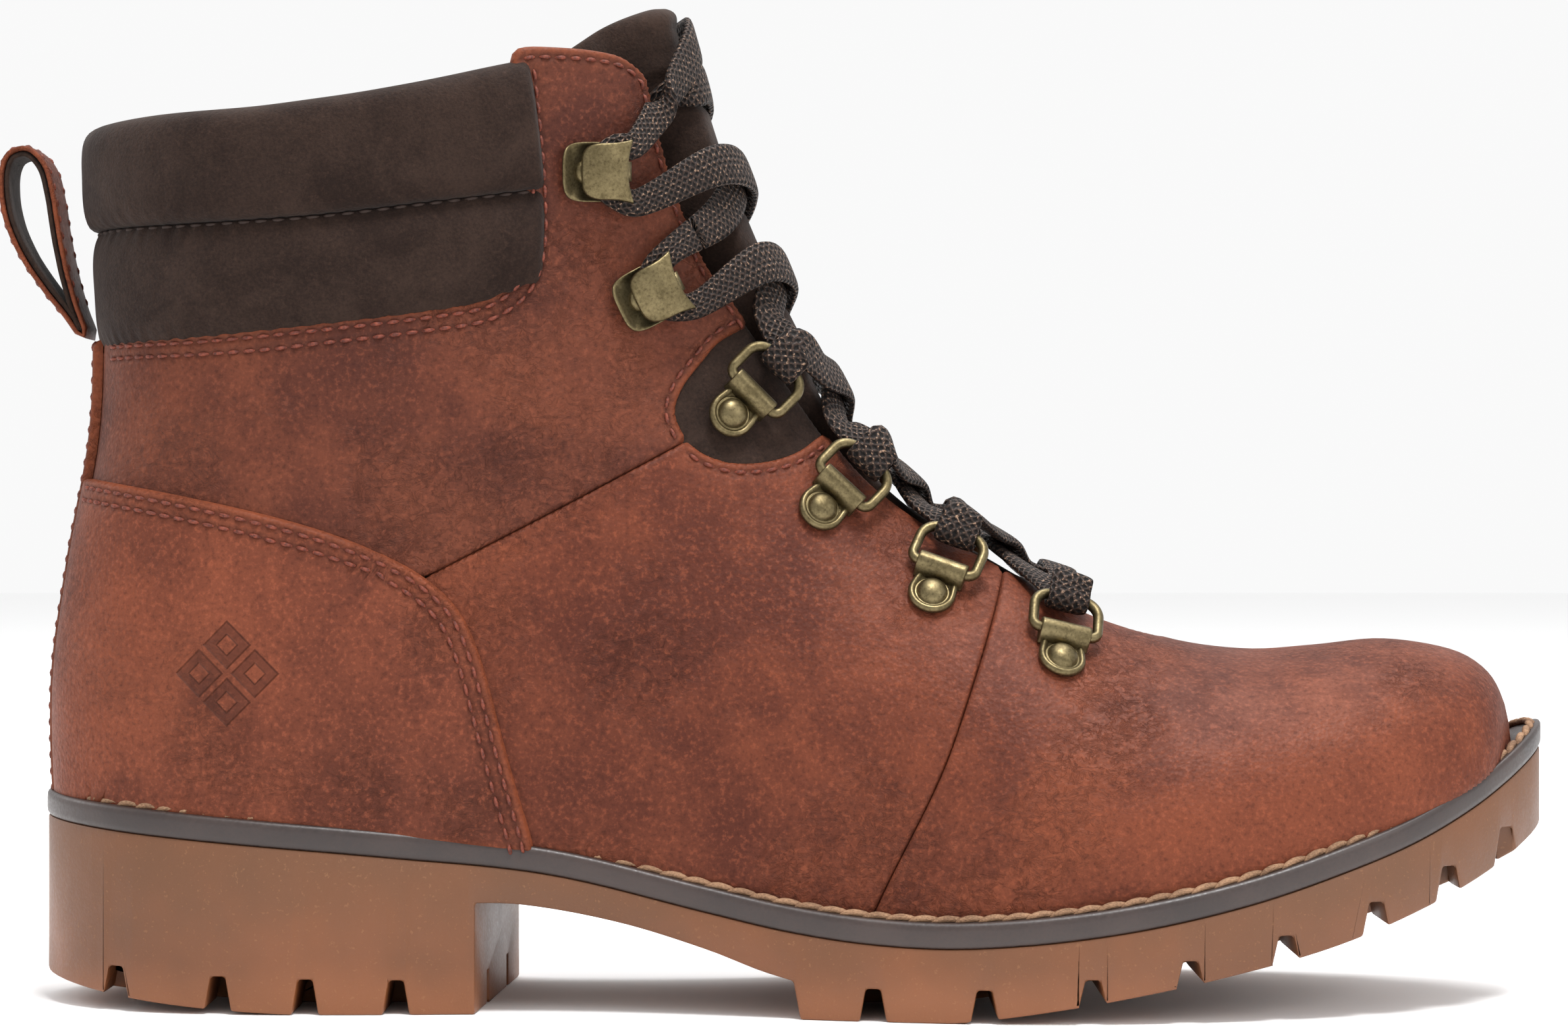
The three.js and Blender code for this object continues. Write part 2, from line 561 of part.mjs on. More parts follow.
// The ring: a D of round wire. Its straight bar lies in the clip's sleeve.
function ringSolid() {
  const half = ring.inside / 2 + wire;
  const { corner, foot } = ring;
  const arc = (cx, cy, r, from, to) =>
    steps(from, to, 3).map((q) => new THREE.Vector3(cx + r * Math.cos(q), cy + r * Math.sin(q), 0));
  const points = [
    ...[-0.5, 0, 0.5].map((u) => new THREE.Vector3(u * half, 0, 0)),
    ...arc(half - foot, foot, foot, -Math.PI / 2, 0),
    ...arc(half - corner, ring.reach - corner, corner, 0, Math.PI / 2),
    new THREE.Vector3(0, ring.reach, 0),
    ...arc(corner - half, ring.reach - corner, corner, Math.PI / 2, Math.PI),
    ...arc(foot - half, foot, foot, Math.PI, Math.PI * 1.5),
  ];
  const made = closedTube(points, wire, 24, 6);
  const up = new THREE.Matrix4().makeTranslation(0, barAt.y, barAt.z);
  return made.transform(up.multiply(new THREE.Matrix4().makeRotationX((ring.lift * Math.PI) / 180)).elements);
}

// Speed hooks: [x, z] of the middle of the hook, and the way to the tongue
const hookPlaces = [
  { at: [-24.5, 132.0], aim: [4.5, 2.6] },
  { at: [-34.0, 153.9], aim: [5.0, 0.2] },
];
function hookSolid() {
  const slab = (w, l, corner, z) => {
    const shape = new THREE.Shape();
    const [a, b, r] = [l / 2, w / 2, corner];
    shape.moveTo(-a + r, -b);
    shape.lineTo(a - r, -b);
    shape.absarc(a - r, -b + r, r, -Math.PI / 2, 0, false);
    shape.lineTo(a, b);
    shape.lineTo(-a, b);
    shape.absarc(-a + r, -b + r, r, Math.PI, Math.PI * 1.5, false);
    const sheet = new THREE.ExtrudeGeometry(shape, { depth: hook.sheet, bevelEnabled: false, curveSegments: 4 });
    return solidOf(sheet.translate(0, 0, z));
  };
  const capBase = plateLift + hook.sheet + hook.mouth;
  const lower = slab(hook.width + hook.baseExtra, hook.length - 1, 3.4, plateLift).translate(0, -1.5, 0);
  const upper = slab(hook.width, hook.length, 3.2, capBase);
  const tall = capBase + hook.sheet - plateLift;
  const neck = new THREE.BoxGeometry(hook.neck, hook.sheet, tall);
  neck.translate(0, hook.width / 2 - hook.sheet / 2, plateLift + tall / 2);
  const hole = turned(new THREE.CylinderGeometry(rivet.shank + 0.2, rivet.shank + 0.2, 5, 10));
  hole.translate(0, hook.rivetY, 0);
  return lower.add(upper).add(solidOf(neck)).subtract(solidOf(hole));
}
// The hook's rivet is a low tubular one under the cap.
function hookRivetSolid(depth) {
  const low = plateLift + hook.sheet + 0.2;
  const outline = [
    [0, -depth], [rivet.shank, -depth], [rivet.shank, low], [hook.rivetHead, low],
    [hook.rivetHead, low + rivet.rim], [0, low + rivet.rim],
  ].map(([r, z]) => new THREE.Vector2(r, z));
  return solidOf(turned(new THREE.LatheGeometry(outline, 10))).translate(0, hook.rivetY, 0);
}

const seatOf = (place, side) => seat(...place.at, side, place.aim);
const holeThrough = solidOf(turned(new THREE.CylinderGeometry(rivet.shank + 0.3, rivet.shank + 0.3, 8, 10)));
const holes = [-1, 1]
  .flatMap((side) => [
    ...clipPlaces.map((place) => placed(holeThrough, seatOf(place, side))),
    ...hookPlaces.map((place) => placed(holeThrough.translate(0, hook.rivetY, 0), seatOf(place, side))),
  ])
  .reduce((all, hole) => all.add(hole));

// ---- upper layers ------------------------------------------------------------------------------------------------
const leatherShell = shell(0, -leather).intersect(overWelt).subtract(holes);
const midShell = shell(-leather - fitGap, -leather - fitGap - stiffener).intersect(overWelt);
const liningShell = shell(-leather - stiffener - 2.6 * fitGap, -liningInside).intersect(overWelt);
const collarShell = shell(collarSwell, -leather - fitGap - stiffener);
const overlayShell = shell(fitGap + overlay, fitGap).intersect(overWelt);

// The open front runs up the instep from the throat. This is its half width, and only the tongue fills it.
const throatStart = 7.1;
const openHalf = smooth(
  [
    [7.1, 3], [7.5, 6.6], [8.2, 8.4], [10, 9], [12, 9.6], [15, 11.5], [17, 14], [20, 17], [22, 18.5],
    [24.6, 20],
  ].map(([t, y]) => [t, y * widthScale]),
);
// The turn at which the last is a given half width from the ridge.
function turnAt(t, y, side = 1) {
  const full = (side < 0 ? outerHalf : innerHalf)(t);
  const p = frontFullness(t);
  const s = widest(t) * (1 - (1 - Math.min(1, Math.abs(y) / full) ** p) ** (1 / p));
  return (side * Math.acos(1 - 2 * s)) / Math.PI;
}
function openSector(narrower, start) {
  const rings = [start, 7.6, 8.2, 9.2, 10.4, 12, 13.5, 15, 16.5, 18, 20, 22, 24.5].map((t) => {
    const half = openHalf(t) - narrower;
    const across = [-1, -0.4, 0.4, 1].map((u) => turnAt(t, half * Math.abs(u), Math.sign(u)));
    const top = across.map((a) => onLast(t, a, 16).toArray());
    const low = across.map((a) => onLast(t, a, -13).toArray());
    return [...top, ...low.reverse()];
  });
  return loft(rings);
}
const front = openSector(0, throatStart);
const backStayZone = (half) =>
  solidOf(new THREE.BoxGeometry(60, half * 2, 300).translate(X(-131), 0, 100));

// vamp: one piece over the toe, from seam to seam
const vampOutline = [...vampSeam, [X(160), 5], [X(160), 120], [X(50), 120]];
add(
  "vamp",
  leatherShell.intersect(sidePrism(vampOutline, -far, far)).subtract(kerf(vampSeam)).subtract(front),
  finish.leather,
);

const insertTop = drawn([[25, 118], [5, 140], [-4, 127.5]]);
const quarterOutline = [
  ...[...crossSeam].reverse(), ...insertLow, ...drawn([[25, 118], [50, 110]]), ...vampSeam, [X(-150), 5],
];
const shaftOutline = [
  ...collarBorder, ...tabBack, ...tabTop, ...tabCorner, ...drawn([[10, 160]]), ...insertTop.slice(1),
  ...insertBack, ...crossSeam.slice(1),
];
const insertOutline = [...insertBack, ...insertLow, ...insertTop];
const overlayOutline = [...overlayEdge, [X(-150), 15]];
const lowRollOutline = [...channelLine, ...[...collarBorder].reverse()];
const highRollOutline = [...topLine, ...[...tabBack].reverse().slice(1), ...[...channelLine].reverse().slice(1)];

const seams = kerf(vampSeam).add(kerf(crossSeam));
const insertSeam = kerf([insertTop[2], ...insertBack, ...insertLow, insertTop[0]]).add(kerf(insertTop.slice(1)));
for (const [word, side] of sides) {
  add(
    `quarter_${word}`,
    leatherShell.intersect(onSide(quarterOutline, side)).subtract(seams).subtract(insertSeam).subtract(front),
    finish.leather,
  );
  add(
    `shaft_panel_${word}`,
    leatherShell.intersect(onSide(shaftOutline, side)).subtract(seams).subtract(insertSeam).subtract(front),
    finish.leather,
  );
  add(
    `flex_insert_${word}`,
    leatherShell.intersect(onSide(insertOutline, side)).subtract(insertSeam).subtract(front),
    finish.suede,
  );
  add(
    `heel_overlay_${word}`,
    overlayShell.intersect(onSide(overlayOutline, side)).subtract(backStayZone(backStayHalf + fitGap)),
    finish.leather,
  );
}
const stayOutline = drawn([[-150, 122.5], [-110, 122.5], [-110, 10], [-150, 10]]);
add(
  "back_stay",
  overlayShell.intersect(sidePrism(stayOutline, -far, far)).intersect(backStayZone(backStayHalf)),
  finish.leather,
);

// stiffeners and insulation, hidden between leather and lining
const puffEdge = drawn([[100, 5], [97, 40], [92, 100], [160, 100], [160, 5]]);
add("toe_puff", midShell.intersect(sidePrism(puffEdge, -far, far)), finish.board);
const counterOutline = drawn([[-150, 5], [-70, 5], [-76, 60], [-100, 82], [-150, 92]]);
add("heel_counter", midShell.intersect(sidePrism(counterOutline, -far, far)), finish.board);
const counterSeam = kerf(counterOutline.slice(1));
const warmFront = drawn([
  [97, 0], [94, 40], [89, 64], [72, 64], [56, 70], [38, 78], [24, 87], [14, 96], [4, 106], [-4, 117],
  [-10, 130], [-15, 141], [-22, 160], [-24, 168], [-45, 168], [-45, 130], [-56, 126.5], [-64.2, 124.5],
  [-85.5, 122], [-107.9, 120], [-150, 119.5],
]);
const warmOutline = [...warmFront, ...[...counterOutline].reverse().slice(0, 3), counterOutline[1]];
for (const [word, side] of sides)
  add(
    `insulation_${word}`,
    midShell.intersect(onSide(warmOutline, side)).subtract(counterSeam).subtract(front),
    finish.foam,
  );

// lining: one sock-shaped layer, open in front behind the lace edges and at the top
const liningTop = [
  [X(-150), Z(161)], ...topLine.slice(1).map(([x, z]) => [x, z - 1]),
  ...drawn([[-46, 173], [-31, 173], [-10, 173], [90, 150], [160, 150], [160, 0], [-150, 0]]),
];
add("lining", liningShell.intersect(sidePrism(liningTop, -far, far)).subtract(front), finish.textile);

// padded collar: two rolls that run round the back from tab to tab
const rollFront = kerf([...drawn([[-47.6, 134]]), ...tabBack]);
const rollEdges = kerf(channelLine).add(kerf(collarBorder)).add(rollFront);
for (const [name, outline] of [["collar_roll_lower", lowRollOutline], ["collar_roll_upper", highRollOutline]])
  add(name, collarShell.intersect(sidePrism(outline, -far, far)).subtract(rollEdges), finish.suede);

// tongue: padded and proud between the lace edges, with thin wings under the lining beside them. Near its top the
// wings lie deeper, which leaves room to tuck the lace ends in.
const tongueEdge = smooth(
  [[6.4, 9], [8, 16], [11, 19], [15, 22], [20, 26], [24.6, 28]].map(([t, y]) => [t, y * widthScale]),
);
const wingDepth = smooth([[6.4, 6.3], [16, 6.3], [17.2, 9.8], [24.6, 9.8]]);
const tongueTop = 24.1;
const tongueStations = [6.4, 7.3, 8.2, 9.5, 11, 12.5, 14, 15.7, 17.3, 18.7, 20.3, 22, 23.3, tongueTop];
const tongueRings = tongueStations.map((t) => {
  const proud = ease((t - 7.5) / 1);
  const open = openHalf(Math.max(t, 7.8));
  const wing = wingDepth(t);
  const edge = tongueEdge(t);
  const soft = ease((t - 17) / 2.5); // the step beside the lace edge turns into a slope towards the top
  const face = [
    [edge, wing],
    [lerp(open, edge, 0.5), wing],
    [lerp(open - 0.8, open, soft), lerp(wing, wing - 0.6, soft)],
    [lerp(open - 1.4, open * 0.66, soft), lerp(wing, lerp(1.5, 4, soft), proud)],
    [lerp(open * 0.55, open * 0.36, soft), lerp(wing, 0.9, proud)],
    [0, lerp(wing, 0.4, proud)],
  ];
  const back = [
    [0, lerp(wing + 1.2, 6.4, soft)], [open * 0.66, lerp(wing + 1.6, 9, soft)], [edge, wing + 2.4],
  ];
  const put = ([y, depth], side) => onLast(t, turnAt(t, y, side) || 1e-9, -depth).toArray();
  return [
    ...face.map((p) => put(p, -1)), ...face.slice(0, -1).reverse().map((p) => put(p, 1)),
    ...[...back].reverse().map((p) => put(p, 1)), ...back.slice(1).map((p) => put(p, -1)),
  ];
});

// ---- hardware pieces -----------------------------------------------------------------------------------------------
const seats = { lateral: [], medial: [] };
const hookSeats = { lateral: [], medial: [] };
for (const [word, side] of sides) {
  clipPlaces.forEach(({ at, aim }, i) => {
    const matrix = seat(...at, side, aim);
    seats[word].push(matrix);
    add(`ring_clip_${word}_${i + 1}`, placed(clipSolid(), matrix), finish.brass);
    add(`lace_ring_${word}_${i + 1}`, placed(ringSolid(), matrix), finish.brass);
    add(`clip_rivet_${word}_${i + 1}`, placed(rivetSolid(leather - fitGap), matrix), finish.brass);
  });
  hookPlaces.forEach(({ at, aim }, i) => {
    const matrix = seat(...at, side, aim);
    hookSeats[word].push(matrix);
    add(`hook_${word}_${i + 1}`, placed(hookSolid(), matrix), finish.brass);
    add(`hook_rivet_${word}_${i + 1}`, placed(hookRivetSolid(leather - fitGap), matrix), finish.brass);
  });
}

// ---- pull loop -----------------------------------------------------------------------------------------------------
// A closed strap behind the heel, rooted above the back stay.
function loopSolid() {
  const middle = drawn([
    [-132.8, 125.2], [-134.6, 130.4], [-136.4, 137], [-137.8, 144], [-138.9, 151], [-140.4, 156.5],
    [-143.3, 159.4], [-146.4, 158.4], [-147.5, 154], [-146.6, 147], [-143.8, 140.3], [-139.6, 134], [-135.6, 129],
  ]).map(([x, z]) => new THREE.Vector3(x + 0.6, 0, z));
  const path = new THREE.CatmullRomCurve3(middle, true, "centripetal");
  const spots = 36;
  const rings = Array.from({ length: spots }, (_, i) => {
    const p = path.getPointAt(i / spots);
    const t = path.getTangentAt(i / spots);
    const half = loop.width / 2 - loop.waist * Math.sin((Math.PI * i) / spots);
    const thick = loop.thick / 2;
    return [[-half, -thick], [half, -thick], [half, thick], [-half, thick]].map(([y, out]) => [
      p.x - t.z * out, y, p.z + t.x * out,
    ]);
  });
  return closedLoft(rings);
}
add("pull_loop", loopSolid(), finish.leather);

// ---- lace ----------------------------------------------------------------------------------------------------------
// The lace's way is a list of spots: a place, the way its face looks, its width and its thickness.
const bowPoint = (matrix, x, y, z) => {
  const hinge = new THREE.Vector3(1, 0, 0);
  const tip = new THREE.Vector3(0, ring.reach, 0).applyAxisAngle(hinge, (ring.lift * Math.PI) / 180);
  return new THREE.Vector3(x, barAt.y + tip.y + y, barAt.z + tip.z + z).applyMatrix4(matrix);
};
const direction = (matrix, x, y, z) => new THREE.Vector3(x, y, z).transformDirection(matrix);
const bend = wire + fitGap + lace.thick / 2 + 0.15;
const spot = (at, face, width = lace.width, thick = lace.thick) => ({ at, face, width, thick });

// A seat's x runs to the toe on the outer side and to the heel on the inner one.
const towardToe = (side) => (side < 0 ? 1 : -1);

// Round a ring's bow, from above to below. The flip says which face of the lace looks out.
function roundRing(matrix, flip, skew) {
  return [
    [skew * 0.3, 3.6, bend + 0.45, 0.1, 1], [0, 0.6, bend, 0.25, 1], [0, -bend * 0.75, bend * 0.66, -0.75, 0.66],
    [0, -bend, 0, -1, 0], [0, -bend * 0.75, -bend * 0.66, -0.75, -0.66], [0, 0.6, -bend, 0.25, -1],
    [-skew * 0.6, 3.6, -bend - 0.2, -0.1, -1],
  ].map(([x, y, z, faceY, faceZ]) =>
    spot(bowPoint(matrix, x, y, z), direction(matrix, 0, faceY, faceZ).multiplyScalar(flip)),
  );
}
// Round a hook's neck, from its lower end to its upper one. The lace is drawn narrow and thick there.
function roundHook(matrix, flip, way) {
  const slot = plateLift + hook.sheet + hook.mouth - 1.35;
  const face = direction(matrix, 0, 0, 1).multiplyScalar(flip);
  return [
    [-5.6, 6.4, slot + 0.2], [-4.3, 1.9, slot], [-2.4, -0.6, slot], [0, -1.2, slot], [2.4, -0.6, slot],
    [4.3, 1.9, slot], [5.6, 6.4, slot + 0.2],
  ].map(([x, y, z]) => spot(new THREE.Vector3(x * way, y, z).applyMatrix4(matrix), face, 4.6, 1.9));
}
// Over the tongue's ridge.
const overRidge = (t, lift, flip, y = 0) => {
  const a = y === 0 ? 1e-9 : turnAt(t, Math.abs(y), Math.sign(y));
  return spot(onLast(t, a, lift), lastNormal(t, a).multiplyScalar(flip));
};

const ringStations = clipPlaces.map(
  ({ at, aim }) => locate(X(at[0] + aim[0] * 2.4), Z(at[1] + aim[1] * 2.4), 1).t,
);
const hookStations = hookPlaces.map(({ at }) => locate(X(at[0] + 6), Z(at[1] + 1), 1).t);
// Half of the lace: from the first ring of one side, up to the tucked end. Every crossing flips the lace.
function laceHalf(first, low) {
  const spots = [];
  let [side, flip] = [first, 1];
  const cross = (from, to, lift) => {
    flip = -flip;
    const at = (u) => lerp(from, to, u) + 0.12;
    const middle = at(0.5);
    const near = openHalf(middle) * 0.72;
    spots.push(overRidge(at(0.3), lerp(1.5, lift, 0.4), flip, side * near));
    spots.push(overRidge(middle, lift, flip));
    spots.push(overRidge(at(0.7), lerp(5.0, lift, 0.3), flip, -side * near));
    side = -side;
  };
  const wordOf = () => (side < 0 ? "lateral" : "medial");
  clipPlaces.forEach((_, i) => {
    spots.push(...roundRing(seats[wordOf()][i], flip, towardToe(side)));
    const next = i + 1 < clipPlaces.length ? ringStations[i + 1] : hookStations[0];
    cross(ringStations[i], next, low === (i % 2 === 0) ? 1.5 : 3.8);
  });
  hookPlaces.forEach((_, i) => {
    spots.push(...roundHook(hookSeats[wordOf()][i], flip, -towardToe(side)));
    if (i === 0) cross(hookStations[0], hookStations[1], low ? 1.6 : 3.9);
  });
  // over the top of the tongue, then down inside, between the tongue's wing and the lining
  flip = -flip;
  const tuck = low
    ? [
        [21.0, 1.5, -9, 0], [21.5, 1.6, 0, 0], [21.45, 1.3, 8, 0], [21.35, -2.8, 0, -5.4], [21.0, -6.8, 0, -4.0],
        [20.2, -8.1, 0, 0.4], [19.5, -8.1, 0, 1.4],
      ]
    : [
        [22.2, 1.6, -9, 0], [23.0, 1.6, 0, 0], [23.1, 1.4, 9.5, 0], [23.0, -2.6, 0, -3.4], [22.6, -6.8, 0, -1.6],
        [21.8, -8.1, 0, 0.8], [20.9, -8.1, 0, 1.8],
      ];
  for (const [t, lift, y, pastEdge] of tuck) {
    const inside = lift < -2;
    const across = inside ? openHalf(t) + pastEdge : y;
    spots.push({ ...overRidge(t, lift, flip, -side * across), width: inside ? 5 : lace.width });
  }
  return spots;
}
const start = overRidge(ringStations[0] - 0.1, 1.6, 1);
const lateralEnd = laceHalf(-1, true);
const medialEnd = laceHalf(1, false);

// A flat band through a list of spots.
function band(spots, between) {
  const curve = new THREE.CatmullRomCurve3(spots.map(({ at }) => at), false, "centripetal");
  const last = spots.length - 1;
  const rings = steps(0, last, Math.round(last * between)).map((k) => {
    const i = Math.min(last - 1, Math.floor(k));
    const u = k - i;
    const [a, b] = [spots[i], spots[i + 1]];
    const at = curve.getPoint(k / last);
    const run = curve.getTangent(k / last);
    const face = a.face.clone().lerp(b.face, u).normalize();
    const across = face.clone().cross(run).normalize();
    const up = run.clone().cross(across).normalize();
    const [w, h] = [lerp(a.width, b.width, u) / 2, lerp(a.thick, b.thick, u) / 2];
    return [[-w, -h], [w, -h], [w, h], [-w, h]].map(([x, z]) =>
      at.clone().addScaledVector(across, x).addScaledVector(up, z).toArray(),
    );
  });
  return loft(rings);
}
const laceWay = [...[...lateralEnd].reverse(), start, ...medialEnd];
const laceSteps = 1.34; // rings of the band for each spot
add("lace", band(laceWay, laceSteps), finish.textile);

// The lace presses a shallow bed into the tongue.
const grown = (one) => ({ ...one, width: one.width + 2 * fitGap, thick: one.thick + 2 * fitGap });
const pressed = laceWay.map(grown);
add(
  "tongue",
  loft(tongueRings).intersect(room.add(openSector(0.8, throatStart + 0.45))).subtract(band(pressed, laceSteps)),
  finish.suede,
);

// The tipped ends of the lace.
function agletSolid(spots) {
  const [a, b] = [spots[spots.length - 2].at, spots[spots.length - 1].at];
  const run = b.clone().sub(a).normalize();
  const tip = new THREE.CylinderGeometry(aglet.width / 2, aglet.width / 2, aglet.length, 8);
  tip.translate(0, aglet.length / 2 + fitGap, 0);
  tip.applyQuaternion(new THREE.Quaternion().setFromUnitVectors(new THREE.Vector3(0, 1, 0), run));
  return solidOf(tip.translate(...b.toArray()));
}
add("aglet_1", agletSolid(lateralEnd), finish.brass);
add("aglet_2", agletSolid(medialEnd), finish.brass);

// The frame: the origin is the middle of the boot's footprint, at the ground.
const box = new THREE.Box3().setFromObject(boot);
const middle = box.getCenter(new THREE.Vector3());
boot.children.forEach((mesh) => mesh.geometry.translate(-middle.x, -middle.y, -box.min.z));

export default boot;
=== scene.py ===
# A laced leather hiking boot for the right foot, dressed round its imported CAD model.
# Lengths are in millimetres until a mesh is made, and then in metres.
import math

import bmesh
import bpy
import numpy as np
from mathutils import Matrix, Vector
from mathutils.geometry import delaunay_2d_cdt


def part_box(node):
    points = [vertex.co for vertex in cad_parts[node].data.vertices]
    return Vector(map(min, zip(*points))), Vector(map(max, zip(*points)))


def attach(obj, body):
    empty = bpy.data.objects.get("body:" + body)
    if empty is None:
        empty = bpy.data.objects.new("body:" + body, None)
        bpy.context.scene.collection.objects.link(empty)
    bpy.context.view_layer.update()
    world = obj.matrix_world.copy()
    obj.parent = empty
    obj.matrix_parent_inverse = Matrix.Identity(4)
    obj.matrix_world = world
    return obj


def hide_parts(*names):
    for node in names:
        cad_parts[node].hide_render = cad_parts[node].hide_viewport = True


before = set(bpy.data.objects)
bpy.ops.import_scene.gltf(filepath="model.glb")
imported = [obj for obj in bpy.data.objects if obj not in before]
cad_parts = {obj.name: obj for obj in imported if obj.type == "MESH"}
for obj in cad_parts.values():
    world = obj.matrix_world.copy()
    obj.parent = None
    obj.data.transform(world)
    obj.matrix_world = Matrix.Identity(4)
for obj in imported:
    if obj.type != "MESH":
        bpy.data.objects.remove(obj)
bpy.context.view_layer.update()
bpy.ops.object.select_all(action="DESELECT")
MM = 0.001

# ---- The last --------------------------------------------------------------------------------------------------
# The foot-shaped form the upper is pulled over. It isn't a piece of the boot. It is a fan of sections that runs
# from the toe tip, over the instep and round the heel corner, to the top of the shaft.


def through(pairs):
    """A smooth curve through [position, value] pairs, as a function of arrays."""
    at, value = np.array(pairs, float).T
    low = np.maximum(np.arange(len(at)) - 1, 0)
    high = np.minimum(np.arange(len(at)) + 1, len(at) - 1)
    slope = (value[high] - value[low]) / (at[high] - at[low])

    def curve(x):
        x = np.clip(np.asarray(x, float), at[0], at[-1])
        i = np.clip(np.searchsorted(at, x, side="right") - 1, 0, len(at) - 2)
        h = at[i + 1] - at[i]
        u = (x - at[i]) / h
        a = u * u * (3 - 2 * u)
        bend = u * (1 - u) ** 2 * slope[i] - u * u * (1 - u) * slope[i + 1]
        return value[i] * (1 - a) + value[i + 1] * a + h * bend

    return curve


def ease(x):
    u = np.clip(x, 0, 1)
    return u * u * (3 - 2 * u)


def travelled(points):
    """How far along a polyline each of its points lies."""
    return np.concatenate([[0], np.cumsum(np.linalg.norm(np.diff(points, axis=0), axis=1))])


def unit(vectors):
    return vectors / np.linalg.norm(vectors, axis=-1, keepdims=True)


def heading(loop):
    """The way a closed line runs, at each of its points."""
    return unit(np.roll(loop, -1, axis=0) - np.roll(loop, 1, axis=0))


def evenly(points, step=None, count=None, closed=False):
    """Points spread evenly along a polyline."""
    points = np.asarray(points, float)
    if closed:
        points = np.vstack([points, points[:1]])
    run = travelled(points)
    n = count or max(2, int(round(run[-1] / step)) + 1)
    at = np.linspace(0, run[-1], n, endpoint=not closed)
    return np.column_stack([np.interp(at, run, column) for column in points.T])


def rounded(points, step=1.0, closed=False):
    """A smooth curve through a few points, spread evenly."""
    points = np.asarray(points, float)
    if closed:
        points = np.vstack([points[-2:], points, points[:3]])
    run = travelled(points)
    curves = [through(np.column_stack([run, column])) for column in points.T]
    start, end = (run[2], run[-3]) if closed else (run[0], run[-1])
    at = np.linspace(start, end, 40 * len(points), endpoint=not closed)
    return evenly(np.column_stack([curve(at) for curve in curves]), step=step, closed=closed)


WELT_SHELF = 4.0
WELT_BAND = 4.7
HEEL_CORNER = 17  # the section that ends at the heel's lower back corner
OVER_TOP = 24.6
SKIRT = 8  # the form runs this far below the welt

sole_plan = rounded(
    [
        (-139.4, 0), (-134, -16.5), (-120, -29), (-100, -34), (-78, -34.5), (-55, -33.5), (-33, -34), (-10, -38),
        (15, -44.5), (38, -49), (60, -50), (80, -47.5), (100, -42), (117, -33.5), (131, -21.5), (140.5, -8.5),
        (144, 4), (141, 17), (131, 27.5), (115, 36.5), (95, 42.5), (72, 45), (50, 43), (28, 38), (5, 32.5),
        (-20, 29.5), (-45, 30), (-70, 32.5), (-98, 33.5), (-120, 29), (-134, 16.5),
    ],
    closed=True,
)
cad_sole = [np.array(corner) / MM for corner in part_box("outsole")]
plan_middle = (sole_plan.min(axis=0) + sole_plan.max(axis=0)) / 2
TO_FRAME = np.append((cad_sole[0][:2] + cad_sole[1][:2]) / 2 - plan_middle, 0)  # the form's place in the frame

weld = [
    (-140, 39.5), (-130, 38.4), (-107, 36.3), (-71, 33.2), (-43, 30.2), (-14, 23.6), (0, 20.6), (14, 18.7),
    (28, 18.0), (42, 18.7), (56, 20.3), (70, 22.7), (85, 26.2), (99, 30.5), (114, 35.8), (126, 41.4), (134, 46),
    (144, 52.5),
]
welt_top = through(weld)


def under(x):
    return float(welt_top(x)) - SKIRT


def sole_outline(inset, count=340):
    """The sole's outline moved in, from the heel round the outer side."""
    points = evenly(sole_plan, count=count, closed=True)
    run = heading(points)
    return points + inset * np.column_stack([-run[:, 1], run[:, 0]])


ridge = [
    (0, 137.0, under(137)), (0.5, 137.2, 51), (1, 136.4, 56.6), (2, 132.6, 62.3), (3, 126, 65.7), (4, 114, 67.4),
    (5, 101, 66.2), (6, 88, 65.5), (7, 73, 67.6), (8, 57, 73.2), (9, 42, 81.8), (10, 29, 89.6), (11, 18, 98.6),
    (12, 11, 108), (13, 6, 117), (14, 2, 125), (15, -1.5, 132), (16, -4.3, 138.5), (17, -6.5, 143.5),
    (18, -9, 149.5), (19, -11.8, 156.5), (20, -14, 163), (21, -15.8, 169), (22, -17.4, 175), (23, -19, 181),
    (24.6, -21.5, 191),
]
foot = [(0, 137.0), (0.5, 136.7), (1, 135.7), (2, 131.5), (3, 124), (4, 111), (5, 97), (6, 82), (7, 65), (8, 46),
        (9, 26), (10, 3), (11, -22), (12, -48), (13, -75), (14, -99), (15, -118), (16, -131)]
back = [(17, -135.4, 31.5), (18, -136.6, 58), (19, -133.6, 82), (20, -129.6, 104), (21, -128.6, 122),
        (22, -129.2, 143), (23, -130.8, 162), (24.6, -132, 178)]
base = [(t, x, under(x)) for t, x in foot] + back
ridge_x, ridge_z = (through([(row[0], row[k]) for row in ridge]) for k in (1, 2))
base_x, base_z = (through([(row[0], row[k]) for row in base]) for k in (1, 2))
outer_half = through([
    (0, 0), (0.5, 6), (1, 12), (2, 24), (3, 32), (4, 39.5), (5, 44), (6, 47.5), (7, 49), (8, 47.5), (9, 43.5),
    (10, 39), (11, 35.5), (12, 33.5), (13, 33), (16, 33), (19, 33), (20, 33.5), (21, 34.5), (22, 35.5), (24.6, 36.5),
])
inner_half = through([
    (0, 0), (0.5, 6), (1, 11), (2, 20), (3, 27), (4, 32.5), (5, 35.5), (6, 37.5), (7, 38.5), (8, 38), (9, 35.5),
    (10, 33), (11, 31.5), (12, 31), (13, 31.5), (16, 33), (19, 33), (20, 33.5), (21, 34.5), (22, 35.5), (24.6, 36.5),
])
ridge_y = through([(0, 4), (3, 4), (7, 3), (10, 1.2), (13, 0), (24.6, 0)])
widest = through([(0, 0.72), (4, 0.75), (7, 0.78), (9, 0.78), (11, 0.8), (13, 0.8), (15, 0.72), (17, 0.6),
                  (19, 0.53), (21, 0.49), (24.6, 0.48)])
front_fullness = through([(0, 2), (2, 2.2), (5, 2.3), (8, 2.05), (24.6, 2)])
back_fullness = through([(0, 2.2), (14, 2.2), (18, 2.3), (24.6, 2.2)])

